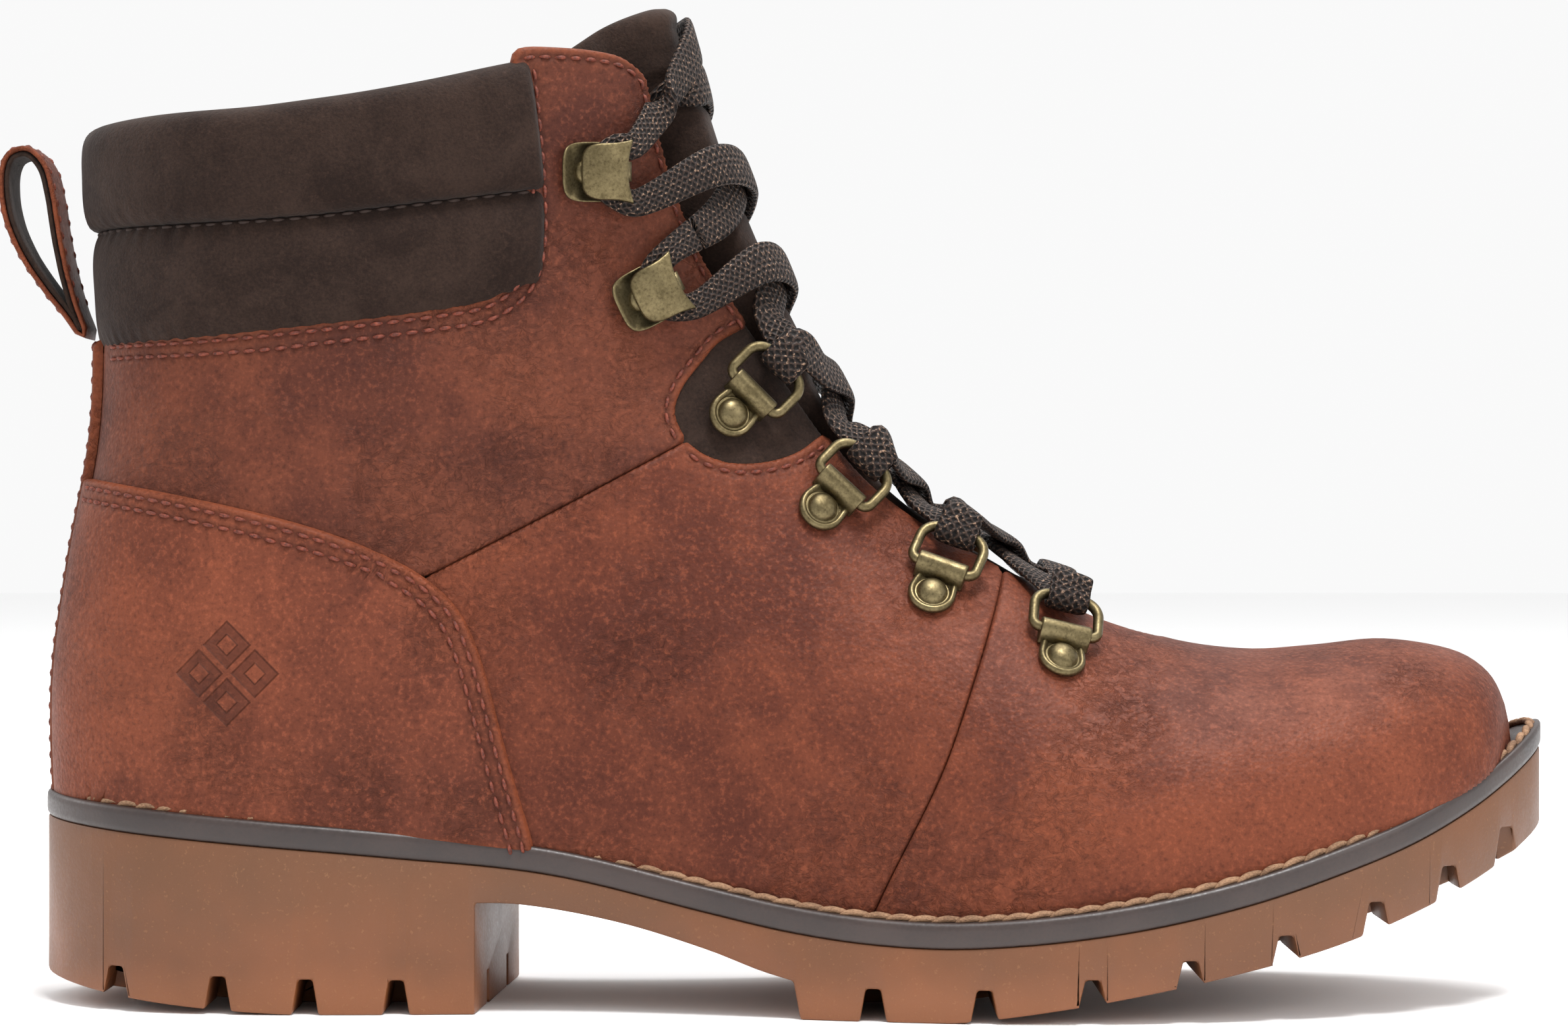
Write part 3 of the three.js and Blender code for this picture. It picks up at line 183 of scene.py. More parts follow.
feather = sole_outline(WELT_SHELF, 900)
toe_end = int(np.argmax(feather[:, 0]))
heel_end = int(np.argmin(feather[:, 0]))
feather = np.roll(feather, -heel_end, axis=0)
toe_end = (toe_end - heel_end) % len(feather)
outer_feather, inner_feather = feather[: toe_end + 1], feather[toe_end:][::-1]


def half_width(t, s, side):
    """How far the wall stands from the ridge plane, a share s of the way from ridge to base."""
    x = base_x(t)
    outer = np.interp(x, outer_feather[:, 0], outer_feather[:, 1])
    inner = np.interp(x, inner_feather[:, 0], inner_feather[:, 1])
    edge = np.where(side < 0, ridge_y(t) - outer, inner - ridge_y(t))
    at_base = np.where(t < HEEL_CORNER, np.maximum(edge, 0), 0)
    full = np.maximum(np.where(side < 0, outer_half(t), inner_half(t)), at_base * 1.01) + 1e-9
    m, p, q = widest(t), front_fullness(t), back_fullness(t)
    rising = full * (1 - (1 - np.minimum(s / m, 1)) ** p) ** (1 / p)
    past = np.clip((s - m) / (1 - m), 0, 1)
    falling = full * np.maximum(0, 1 - past**q * (1 - (at_base / full) ** q)) ** (1 / q)
    return np.where(s <= m, rising, falling)


def last_point(t, a):
    """Places on the form. The turn a is 0 on the ridge and 1 on the base line, and negative on the outer side."""
    t, a = np.broadcast_arrays(np.asarray(t, float), np.asarray(a, float))
    side = np.where(a < 0, -1.0, 1.0)
    side = np.where(np.abs(a) > 1, -side, side)
    turn = np.where(np.abs(a) > 1, 2 - np.abs(a), np.abs(a))
    s = (1 - np.cos(np.pi * turn)) / 2
    x = ridge_x(t) + (base_x(t) - ridge_x(t)) * s
    z = ridge_z(t) + (base_z(t) - ridge_z(t)) * s
    y = ridge_y(t) * (1 - s * ease((t - 12) / 4)) + side * half_width(t, s, side)
    return np.stack([x, y, z], axis=-1)


def last_normal(t, a):
    t = np.clip(t, 0.12, OVER_TOP - 0.1)
    a = np.where(t < HEEL_CORNER, np.clip(a, -0.985, 0.985), a)
    along = last_point(t + 0.04, a) - last_point(t - 0.04, a)
    around = last_point(t, a + 0.008) - last_point(t, a - 0.008)
    return unit(np.cross(around, along))


def on_last(t, a, out=0.0):
    """Places that stand out of the form."""
    return last_point(t, a) + last_normal(t, a) * np.asarray(out, float)[..., None]


def bisected(low, high, holds, steps=30):
    """Two places, close together, between which a condition stops holding on the way from low to high."""
    for _ in range(steps):
        middle = (low + high) / 2
        held = holds(middle)
        low, high = np.where(held, middle, low), np.where(held, high, middle)
    return low, high


def locate(points, side):
    """The sections and turns of side view places on the outer (-1) or inner (1) side."""
    x, z = np.atleast_2d(np.asarray(points, float)).T

    def off(t):
        return (x - ridge_x(t)) * (base_z(t) - ridge_z(t)) - (z - ridge_z(t)) * (base_x(t) - ridge_x(t))

    start = np.full_like(x, 0.6)
    sign = np.sign(off(start))
    t, _ = bisected(start, np.full_like(x, OVER_TOP - 0.01), lambda t: np.sign(off(t)) == sign, 40)
    dx, dz = base_x(t) - ridge_x(t), base_z(t) - ridge_z(t)
    s = np.clip(((x - ridge_x(t)) * dx + (z - ridge_z(t)) * dz) / (dx * dx + dz * dz), 0, 1)
    return np.column_stack([t, side * np.arccos(1 - 2 * s) / np.pi])


open_half = through([(7.1, 3), (7.5, 6.6), (8.2, 8.4), (10, 9), (12, 9.6), (15, 11.5), (17, 14), (20, 17),
                     (22, 18.5), (24.6, 20)])


def turn_at(t, y, side=1):
    """The turn at which the form is a given half width from the ridge."""
    t, y, side = np.broadcast_arrays(np.asarray(t, float), np.asarray(y, float), np.asarray(side, float))
    full = np.where(side < 0, outer_half(t), inner_half(t))
    p = front_fullness(t)
    s = widest(t) * (1 - (1 - np.minimum(1, np.abs(y) / full) ** p) ** (1 / p))
    return side * np.arccos(1 - 2 * s) / np.pi


# A flat pattern of the form, for cutting panels: along it by its middle line, round it by each section's half girth.
grid_t = np.linspace(0.02, OVER_TOP, 500)
pattern_run = travelled(last_point(grid_t, -0.5))
sections = last_point(grid_t[:, None], np.linspace(-1, 0, 30)[None, :])
half_girth = np.linalg.norm(np.diff(sections, axis=1), axis=2).sum(axis=1)


def to_pattern(ta):
    ta = np.asarray(ta, float)
    return np.column_stack([
        np.interp(ta[:, 0], grid_t, pattern_run), ta[:, 1] * np.interp(ta[:, 0], grid_t, half_girth)
    ])


def from_pattern(uv):
    uv = np.asarray(uv, float)
    t = np.interp(uv[:, 0], pattern_run, grid_t)
    return np.column_stack([t, uv[:, 1] / np.interp(t, grid_t, half_girth)])


def distance_to(points, line, closed=False):
    """Each point's distance to a polyline."""
    ends = np.roll(line, -1, axis=0) if closed else line[1:]
    starts = line if closed else line[:-1]
    best = np.full(len(points), 1e9)
    for begin in range(0, len(points), 2000):
        part = points[begin : begin + 2000, None, :]
        run = ends - starts
        share = ((part - starts) * run).sum(-1) / np.maximum((run * run).sum(-1), 1e-12)
        nearest = starts + np.clip(share, 0, 1)[..., None] * run
        best[begin : begin + 2000] = np.linalg.norm(part - nearest, axis=-1).min(axis=1)
    return best


def inside(points, outline):
    """Which points lie within a closed outline."""
    x, y = points[:, 0][:, None], points[:, 1][:, None]
    x0, y0 = outline.T
    x1, y1 = np.roll(outline, -1, axis=0).T
    crossing = (y0 > y) != (y1 > y)
    at = x0 + (y - y0) * (x1 - x0) / np.where(np.abs(y1 - y0) < 1e-12, 1e-12, y1 - y0)
    return (crossing & (x < at)).sum(axis=1) % 2 == 1


def mesh_piece(name, points, faces, smooth=True, body="boot"):
    """A finished piece from places on the form, in millimetres."""
    mesh = bpy.data.meshes.new(name)
    mesh.from_pydata(((np.asarray(points) + TO_FRAME) * MM).tolist(), [], [list(map(int, f)) for f in faces])
    mesh.validate()
    mesh.update()
    piece = bpy.data.objects.new(name, mesh)
    bpy.context.collection.objects.link(piece)
    if smooth:
        mesh.polygons.foreach_set("use_smooth", np.ones(len(mesh.polygons), bool))
    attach(piece, body)
    return piece


def attribute(piece, name, values):
    layer = piece.data.attributes.new(name, "FLOAT", "POINT")
    full = np.zeros(len(piece.data.vertices))
    full[: len(values)] = values
    layer.data.foreach_set("value", full)


def stepped(ta, run_way, distance):
    """Places on the form moved across their run, by a distance in millimetres."""
    t, a = ta.T
    by_t = (last_point(t + 0.02, a) - last_point(t - 0.02, a)) / 0.04
    by_a = (last_point(t, a + 0.004) - last_point(t, a - 0.004)) / 0.008
    way = np.cross(last_normal(t, a), run_way)
    way /= np.maximum(np.linalg.norm(way, axis=1, keepdims=True), 1e-9)
    tt, aa, both = (by_t * by_t).sum(1), (by_a * by_a).sum(1), (by_t * by_a).sum(1)
    rt, ra = (by_t * way).sum(1) * distance, (by_a * way).sum(1) * distance
    det = np.maximum(tt * aa - both * both, 1e-6)
    return np.column_stack([t + (aa * rt - both * ra) / det, a + (tt * ra - both * rt) / det])


def border_of(faces):
    """The edges that only one triangle has."""
    pairs = dict.fromkeys((int(f[i]), int(f[(i + 1) % 3])) for f in faces for i in range(3))
    return [pair for pair in pairs if (pair[1], pair[0]) not in pairs]


EDGE_RINGS = (0.15, 0.4, 0.8, 1.4, 2.2)  # how far in from a panel's edge its rings of points lie
GROOVE_RINGS = (-1.0, -0.5, 0, 0.5, 1.0)  # how far to each side of a stitch row its points lie
EDGE_CLEAR, ROW_CLEAR, ROW_FROM_EDGE = 2.9, 1.7, 0.6  # how far other points keep off edges and rows
GROOVE_WIDTH, GROOVE_DEPTH = 0.55, 0.28
BARE_EDGE, FAR_OFF = 1.1, 9.0  # how far a cut edge shows bare, and a distance where nothing of it shows


def evenly_cut(outline):
    """An outline of (t, a) places, with its points about 1.5 mm apart on the form."""
    number = len(evenly(last_point(*outline.T), step=1.5, closed=True))
    dense = from_pattern(evenly(to_pattern(outline), count=4000, closed=True))
    path = last_point(*dense.T)
    steps = np.linalg.norm(np.diff(np.vstack([path, path[:1]]), axis=0), axis=1)
    along = np.concatenate([[0], np.cumsum(steps)[:-1]])
    picks = np.searchsorted(along, np.linspace(0, steps.sum(), number, endpoint=False))
    return dense[np.clip(picks, 0, len(dense) - 1)]


def inner_points(edge, rows, round_over, spacing):
    """Points to fill a panel with: rings by its edge, lines along its stitch rows, and an even field between."""
    places, edge_uv = last_point(*edge.T), to_pattern(edge)

    def kept(uv, clear):
        far = distance_to(last_point(*from_pattern(uv).T), places, closed=True)
        return uv[inside(uv, edge_uv) & (far > clear)]

    chord = np.roll(places, -1, axis=0) - np.roll(places, 1, axis=0)
    inward = 1.0 if inside(to_pattern(stepped(edge, chord, 1.0)), edge_uv).mean() >= 0.5 else -1.0
    found = []
    for inset in EDGE_RINGS:
        ring = stepped(edge, chord, inward * inset * max(1.0, round_over / 0.9))
        far = distance_to(last_point(*ring.T), places, closed=True)
        ring_uv = to_pattern(ring)
        found.append(ring_uv[inside(ring_uv, edge_uv) & (far > inset * 0.93)])
    row_lines = []
    for row in rows:
        number = len(evenly(last_point(*row.T), step=1.1))
        row_ta = from_pattern(evenly(to_pattern(row), count=number * 4))[::4]
        line = last_point(*row_ta.T)
        row_lines.append(line)
        way = np.gradient(line, axis=0)
        for off in GROOVE_RINGS:
            found.append(kept(to_pattern(stepped(row_ta, way, off) if off else row_ta), ROW_FROM_EDGE))
    low, high = edge_uv.min(axis=0), edge_uv.max(axis=0)
    us = np.arange(low[0], high[0], spacing)
    vs = np.arange(low[1], high[1], spacing * 0.87)
    mesh_u, mesh_v = np.meshgrid(us, vs)
    mesh_u = mesh_u + (np.arange(len(vs)) % 2)[:, None] * spacing / 2
    field = np.column_stack([mesh_u.ravel(), mesh_v.ravel()])
    field = field[inside(field, edge_uv)]
    if len(field):
        spots = last_point(*from_pattern(field).T)
        clear = distance_to(spots, places, closed=True) > EDGE_CLEAR
        for line in row_lines:
            clear &= distance_to(spots, line) > ROW_CLEAR
        found.append(field[clear])
    return found, row_lines


def cut_panel(name, outline, rows=(), level=0.0, thick=1.0, round_over=0.9, skirt=0.7, spacing=2.7, raw=None):
    """A leather panel with rounded edges and pressed-in stitch rows, cut to an outline of (t, a) places. Raw are the
    lines where the cut edge is left bare: all of the outline if none are given."""
    edge = evenly_cut(outline)
    places, edge_uv = last_point(*edge.T), to_pattern(edge)
    loose, row_lines = inner_points(edge, rows, round_over, spacing)
    every = np.vstack([edge_uv] + loose)
    found = delaunay_2d_cdt([Vector(p) for p in every], [], [list(range(len(edge_uv)))], 1, 1e-4)
    faces = np.array([list(f) for f in found[2]])
    ta = from_pattern(np.array([tuple(p) for p in found[0]]))
    flat = last_point(*ta.T)
    far = distance_to(flat, places, closed=True)
    rise = np.sqrt(np.clip(1 - (1 - np.clip(far / round_over, 0, 1)) ** 2, 0, 1))
    pressed = np.zeros(len(flat))
    for line in row_lines:
        pressed = np.maximum(pressed, np.exp(-((distance_to(flat, line) / GROOVE_WIDTH) ** 2)))
    top = on_last(ta[:, 0], ta[:, 1], level - thick + thick * rise - GROOVE_DEPTH * pressed)
    first = top[faces[:, 1]] - top[faces[:, 0]]
    second = top[faces[:, 2]] - top[faces[:, 0]]
    if (np.cross(first, second) * last_normal(*ta[faces[:, 0]].T)).sum() < 0:
        faces = faces[:, ::-1]
    # the cut edge, turned down to what lies under it
    border = border_of(faces)
    ends = sorted({i for pair in border for i in pair})
    number = {v: len(top) + k for k, v in enumerate(ends)}
    low_edge = on_last(ta[ends, 0], ta[ends, 1], np.full(len(ends), level - thick - skirt))
    walls = [(b, a, number[a], number[b]) for a, b in border]
    piece = mesh_piece(name, np.vstack([top, low_edge]), [tuple(f) for f in faces] + walls)
    every_place = np.vstack([flat, flat[ends]])
    if raw is None:
        bare = distance_to(every_place, places, closed=True)
    else:
        bare = np.full(len(every_place), FAR_OFF)
        for line in raw:
            bare = np.minimum(bare, distance_to(every_place, last_point(*line.T)))
    attribute(piece, "rim", np.exp(-((bare / BARE_EDGE) ** 2)))
    attribute(piece, "pressed", pressed)
    return piece


# ---- Finishes --------------------------------------------------------------------------------------------------
# Every finish is made of nodes. Python arithmetic on a Shade adds the Math nodes.


class Shade:
    """A value in a finish's node tree."""

    def __init__(self, finish, socket):
        self.finish, self.socket = finish, socket

    def join(self, kind, other, turned=False):
        return self.finish.math(kind, *((other, self) if turned else (self, other)))

    def __add__(self, other):
        return self.join("ADD", other)

    def __mul__(self, other):
        return self.join("MULTIPLY", other)

    def __sub__(self, other):
        return self.join("SUBTRACT", other)

    def __rsub__(self, other):
        return self.join("SUBTRACT", other, turned=True)

    __radd__, __rmul__ = __add__, __mul__


def srgb(red, green, blue):
    """A screen colour, 0 to 255, as the linear colour that a shader takes."""
    channels = (c / 255 for c in (red, green, blue))
    return tuple(c / 12.92 if c < 0.04045 else ((c + 0.055) / 1.055) ** 2.4 for c in channels) + (1.0,)


class Finish:
    """A Principled finish that is built up from noise, cells and the piece's own attributes."""

    def __init__(self, name, **settings):
        self.material = bpy.data.materials.new(name)
        self.material.use_nodes = True
        self.nodes = self.material.node_tree.nodes
        self.links = self.material.node_tree.links
        self.shader = self.nodes["Principled BSDF"]
        for socket, value in settings.items():
            self.set(socket.replace("_", " "), value)
        self.place = self.nodes.new("ShaderNodeTexCoord").outputs["Object"]

    def put(self, socket, value):
        if isinstance(value, Shade):
            self.links.new(value.socket, socket)
        elif hasattr(value, "is_output"):
            self.links.new(value, socket)
        else:
            socket.default_value = value

    def set(self, socket, value):
        self.put(self.shader.inputs[socket], value)

    def node(self, kind, settings, *values, output=0):
        made = self.nodes.new(kind)
        for key, value in settings.items():
            setattr(made, key, value)
        for socket, value in zip(made.inputs, values):
            if value is not None:
                self.put(socket, value)
        return Shade(self, made.outputs[output])

    def math(self, operation, *values):
        return self.node("ShaderNodeMath", {"operation": operation}, *values)

    def axis(self, number, vector=None):
        """One coordinate of a vector, or else of the place."""
        return self.node("ShaderNodeSeparateXYZ", {}, vector or self.place, output=number)

    def stretched(self, x=1, y=1, z=1):
        return self.node("ShaderNodeMapping", {}, self.place, None, None, (x, y, z)).socket

    def noise(self, size, detail=4, rough=0.55, place=None, warp=0.0):
        """Noise from 0 to 1 whose patches are about as wide as size, in millimetres."""
        made = self.nodes.new("ShaderNodeTexNoise")
        self.put(made.inputs["Vector"], place or self.place)
        made.inputs["Scale"].default_value = 1000 / size
        made.inputs["Detail"].default_value = detail
        made.inputs["Roughness"].default_value = rough
        made.inputs["Distortion"].default_value = warp
        return Shade(self, made.outputs["Fac"])

    def cells(self, size, feature="F1", place=None):
        made = self.nodes.new("ShaderNodeTexVoronoi")
        made.feature = feature
        self.put(made.inputs["Vector"], place or self.place)
        made.inputs["Scale"].default_value = 1000 / size
        return Shade(self, made.outputs["Distance"])

    def between(self, value, low, high, to_low=0.0, to_high=1.0):
        """A smooth ramp from one range to another."""
        made = self.nodes.new("ShaderNodeMapRange")
        made.interpolation_type = "SMOOTHSTEP"
        for socket, number in zip(made.inputs, (value, low, high, to_low, to_high)):
            self.put(socket, number)
        return Shade(self, made.outputs["Result"])

    def own(self, name):
        made = self.nodes.new("ShaderNodeAttribute")
        made.attribute_name = name
        return Shade(self, made.outputs["Fac"])

    def mix(self, share, first, second, way="MIX"):
        """A blend of two colours."""
        made = self.nodes.new("ShaderNodeMix")
        made.data_type, made.blend_type = "RGBA", way
        self.put(made.inputs[0], share)
        self.put(made.inputs[6], first)
        self.put(made.inputs[7], second)
        return Shade(self, made.outputs[2])

    def relief(self, height, depth, strength=1.0):
        """Bumps whose height is given from 0 to 1 and stands depth millimetres tall."""
        made = self.nodes.new("ShaderNodeBump")
        made.inputs["Strength"].default_value = strength
        made.inputs["Distance"].default_value = depth * MM
        self.put(made.inputs["Height"], height)
        self.links.new(made.outputs["Normal"], self.shader.inputs["Normal"])

    def coat(self, *pieces):
        for piece in pieces:
            piece.data.materials.clear()
            piece.data.materials.append(self.material)

    def repaint(self, *nodes):
        """The finish of CAD nodes that stay."""
        self.coat(*(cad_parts[name] for name in nodes))


def grained(name, fine, dark, light, roughness, depth, broad=None, ramp=True, stretch=None, **settings):
    """A finish that runs from dark to light by one fine grain, mixed with a broad drift if there is one. Its
    roughness is one value, or two to go between by the grain."""
    made = Finish(name, **settings)
    grain = made.noise(*fine, place=made.stretched(*stretch) if stretch else None)
    tone = grain * 0.6 + made.noise(*broad) * 0.4 if broad else grain
    made.set("Base Color", made.mix(made.between(tone, 0.3, 0.7) if ramp else tone, dark, light))
    made.set("Roughness", made.between(grain, 0.3, 0.7, *roughness) if isinstance(roughness, tuple) else roughness)
    made.relief(grain, depth)
    return made


def times(colour, factor):
    return tuple(c * factor for c in colour[:3]) + (1,)


DIAMOND_AWAY = 0.0052  # from the mark's middle to each diamond's


def oiled_leather(name, light, middle, dark, mark=None):
    """Pull-up leather: waxy, softly mottled, finely grained, and scuffed pale here and there. A mark is the place,
    in metres, where a small sign of four diamonds is pressed in."""
    skin = Finish(name, Specular_IOR_Level=0.12)
    cloud = skin.noise(60, 3, 0.6, warp=0.5)
    patch = skin.noise(15, 4, 0.6)
    fleck = skin.noise(0.95, 3, 0.65)
    dots = skin.noise(3.4, 4, 0.7)
    tone = skin.between(cloud * 0.6 + patch * 0.28 + dots * 0.12, 0.38, 0.62)
    colour = skin.mix(tone, dark, light)
    colour = skin.mix(0.25, colour, middle)
    colour = skin.mix(skin.between(fleck, 0.5, 0.7) * 0.34, colour, times(light, 1.7))
    colour = skin.mix(skin.between(fleck, 0.47, 0.3) * 0.4, colour, times(dark, 0.55))
    scuff = skin.noise(10, 7, 0.78, skin.stretched(2.2, 1, 0.6), warp=1.0)
    colour = skin.mix(skin.between(scuff, 0.62, 0.76) * 0.3, colour, srgb(136, 80, 56))
    colour = skin.mix(skin.own("rim") * skin.between(skin.noise(0.8), 0.2, 0.6) * 0.6, colour, srgb(124, 64, 38))
    colour = skin.mix(skin.own("pressed") * 0.5, colour, srgb(40, 18, 13))
    pores = skin.cells(0.8, "F1")
    wrinkle = skin.noise(3.4, 5, 0.7, skin.stretched(1, 1, 1.4), warp=0.8)
    fold = skin.noise(19, 3, 0.5, skin.stretched(0.8, 1, 1.5), warp=1.2)
    mask = skin.between(skin.noise(34, 2), 0.46, 0.62)
    crease = skin.between(wrinkle, 0.44, 0.5) * (1 - skin.between(wrinkle, 0.5, 0.56)) * mask
    height = pores * 0.22 + fleck * 0.22 + wrinkle * 0.2 - crease * 0.3 + fold * 0.9
    if mark:
        x = skin.math("ABSOLUTE", skin.axis(0) - mark[0])
        z = skin.math("ABSOLUTE", skin.axis(2) - mark[1])
        beside = skin.math("ABSOLUTE", x - DIAMOND_AWAY) + z
        above = skin.math("ABSOLUTE", z - DIAMOND_AWAY) + x
        nearest = skin.math("MINIMUM", beside, above)
        sunk = skin.between(nearest, 0.0046, 0.0040)
        core = skin.between(nearest, 0.0022, 0.0017)
        height = height - (sunk - core) * 1.6
        colour = skin.mix((sunk - core) * 0.5, colour, srgb(58, 30, 23))
    skin.set("Base Color", colour)
    skin.set("Roughness", skin.between(patch * 0.5 + fleck * 0.5, 0.3, 0.7, 0.62, 0.46))
    skin.relief(height, 0.4)
    return skin


def nubuck(name, dark, light, pile=0.9):
    """Napped leather: matt, with a short nap that catches the light in drifts."""
    nap = Finish(name, Specular_IOR_Level=0.1, Sheen_Weight=0.05, Sheen_Roughness=0.5)
    drift = nap.noise(16, 4, 0.65, warp=0.8)
    fibre = nap.noise(0.55, 3, 0.7)
    colour = nap.mix(nap.between(drift * 0.5 + fibre * 0.5, 0.34, 0.68), dark, light)
    grit = nap.between(nap.noise(1.3, 3, 0.8), 0.56, 0.72)
    colour = nap.mix(grit * 0.28, colour, times(light, 1.9))
    colour = nap.mix(nap.own("pressed") * 0.6, colour, srgb(20, 14, 11))
    nap.set("Base Color", colour)
    nap.set("Roughness", nap.between(drift, 0.3, 0.7, pile, pile - 0.14))
    nap.relief(fibre * 0.5 + nap.noise(3.2, 4, 0.65) * 0.7 + nap.noise(12, 2) * 0.8, 0.32)
    return nap


upper_leather = oiled_leather("oiled_brown_leather", srgb(112, 59, 39), srgb(92, 46, 31), srgb(68, 33, 24))
dark_nubuck = nubuck("dark_brown_nubuck", srgb(30, 21, 17), srgb(50, 36, 29))

# ---- Camera ----------------------------------------------------------------------------------------------------
# Level, at the boot's mid height, square to its outer side.
VIEW_DISTANCE, EYE_HEIGHT = 0.8, 0.0913
lens = bpy.data.cameras.new("camera")
lens.sensor_width = 36
lens.lens = 96.8067
lens.clip_start = 0.01
camera = bpy.data.objects.new("camera", lens)
bpy.context.collection.objects.link(camera)
camera.location = (TO_FRAME[0] * MM, TO_FRAME[1] * MM - VIEW_DISTANCE, EYE_HEIGHT)
camera.rotation_euler = (math.pi / 2, 0, 0)
bpy.context.scene.camera = camera

# ---- Outsole ---------------------------------------------------------------------------------------------------
# Gum rubber, moulded in one piece: a heel block, a bare arch and a lugged forefoot. It is cut from a slab in plan
# and side view, notched between its lugs, and its edges are broken.
ground_curve = through([
    (-140, 5.5), (-125, 3.2), (-112, 1.6), (-100, 0.6), (-88, 0), (-80, 0), (22, 0), (30, 0), (45, 1.9), (63, 5.0),
    (81, 8.7), (99, 13.2), (115, 18.8), (130, 25.2), (144, 33),
])
lug_root = through([
    (-140, 9.5), (-125, 8.4), (-100, 6.8), (-60, 6.2), (20, 5.9), (35, 6.0), (52, 7.6), (72, 11.2), (90, 15.5),
    (107, 21), (122, 27), (136, 34), (144, 38.5),
])
arch_line = through([(-60, 20.3), (-48, 20), (-30, 16.8), (-14, 12.2), (-4, 8.6), (4, 6.4)])
BREAST, ARCH_END, BREAST_SLANT = -56.4, 2.0, 0.065
OUTER_ROW, INNER_ROW, CHANNEL = -15, 13, 3.2
PAST_SIDE, UNDER_GROUND = 90, -9  # where cutting blocks end, clear of the sole


def ground_line(x):
    return np.maximum(0, ground_curve(x))


def prism(points, low, high, plan=False):
    """A closed block: an outline in side view run across the boot, or an outline in plan stood up."""
    points = np.asarray(points, float)
    area = np.sum(points[:, 0] * np.roll(points[:, 1], -1) - np.roll(points[:, 0], -1) * points[:, 1])
    if (area > 0) != plan:
        points = points[::-1]
    n = len(points)
    shape = bmesh.new()
    if plan:
        rings = [[(x, y, h) for x, y in points] for h in (low, high)]
    else:
        rings = [[(x, h, z) for x, z in points] for h in (low, high)]
    ends = [[shape.verts.new((Vector(p) + Vector(TO_FRAME)) * MM) for p in ring] for ring in rings]
    for i in range(n):
        j = (i + 1) % n
        shape.faces.new((ends[0][i], ends[0][j], ends[1][j], ends[1][i]))
    shape.faces.new(ends[0][::-1])
    shape.faces.new(ends[1])
    bmesh.ops.recalc_face_normals(shape, faces=shape.faces)
    mesh = bpy.data.meshes.new("block")
    shape.to_mesh(mesh)
    shape.free()
    block = bpy.data.objects.new("block", mesh)
    bpy.context.collection.objects.link(block)
    return block


def cut_by(piece, tool, how):
    bpy.context.view_layer.objects.active = piece
    change = piece.modifiers.new("cut", "BOOLEAN")
    change.object, change.operation, change.solver = tool, how, "EXACT"
    change.use_self = True
    bpy.ops.object.modifier_apply(modifier=change.name)
    bpy.data.objects.remove(tool)


def joined(blocks):
    """Several blocks as one object."""
    bpy.ops.object.select_all(action="DESELECT")
    for block in blocks:
        block.select_set(True)
    bpy.context.view_layer.objects.active = blocks[0]
    bpy.ops.object.join()
    bpy.ops.object.select_all(action="DESELECT")
    return blocks[0]


side_xs = np.linspace(-150, 150, 121)
outsole = prism(sole_outline(0.25, 190), -20, 80, plan=True)
outsole.name = outsole.data.name = "outsole_gum"
profile = [(x, welt_top(x) - WELT_BAND) for x in side_xs] + [(x, float(ground_line(x))) for x in side_xs[::-1]]
cut_by(outsole, prism(profile, -PAST_SIDE, PAST_SIDE), "INTERSECT")
arch_xs = np.linspace(BREAST, ARCH_END, 26)
arch_profile = [(x, float(arch_line(x))) for x in arch_xs] + [(ARCH_END + 3, UNDER_GROUND), (BREAST, UNDER_GROUND)]
arch = prism(arch_profile, -PAST_SIDE, PAST_SIDE)
for corner in arch.data.vertices:
    corner.co.x += BREAST_SLANT * (corner.co.y + 0.033)
cut_by(outsole, arch, "DIFFERENCE")


def notch(x, low, high):
    """A gap between two lugs, wider at the ground than at its root."""
    top, foot = float(lug_root(x)), float(ground_line(x))
    flare = 2.4 + (0.6 if top - foot > 7 else 0)
    outline = [(-1.3, top), (1.3, top), (flare, foot), (flare + 1, foot - 6), (-flare - 1, foot - 6), (-flare, foot)]
    return prism([(x + along, z) for along, z in outline], low, high)


HEEL_NOTCHES = (-122.5, -103, -87, -70.5)
TREAD_NOTCHES = (16, 35.8, 55, 72.5, 90, 107, 121.5, 134)
CHANNEL_BACK, CHANNEL_FRONT = -120, 124
gaps = []
for x in HEEL_NOTCHES + TREAD_NOTCHES:
    inner, middle = (x, x + 8) if x in HEEL_NOTCHES else (x + 2, x + 9)
    gaps += [notch(x, -PAST_SIDE, OUTER_ROW), notch(inner, INNER_ROW, PAST_SIDE)]
    if CHANNEL_BACK < x < CHANNEL_FRONT:
        gaps.append(notch(middle, OUTER_ROW, INNER_ROW))
for y in (OUTER_ROW, INNER_ROW):
    under_side = [(x, float(lug_root(x))) for x in np.linspace(CHANNEL_BACK, CHANNEL_FRONT, 60)]
    under_side += [(CHANNEL_FRONT, UNDER_GROUND), (CHANNEL_BACK, UNDER_GROUND)]
    gaps.append(prism(under_side, y - CHANNEL / 2, y + CHANNEL / 2))
cut_by(outsole, joined(gaps), "DIFFERENCE")
broken = outsole.modifiers.new("broken edges", "BEVEL")
broken.width, broken.segments, broken.limit_method, broken.angle_limit = 0.5 * MM, 2, "ANGLE", math.radians(35)
broken.use_clamp_overlap = False
bpy.context.view_layer.objects.active = outsole
bpy.ops.object.modifier_apply(modifier=broken.name)
outsole.data.polygons.foreach_set("use_smooth", np.ones(len(outsole.data.polygons), bool))
bpy.ops.object.select_all(action="DESELECT")
outsole.select_set(True)
bpy.ops.object.shade_smooth_by_angle(angle=math.radians(28))
bpy.ops.object.select_all(action="DESELECT")
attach(outsole, "boot")
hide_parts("outsole")

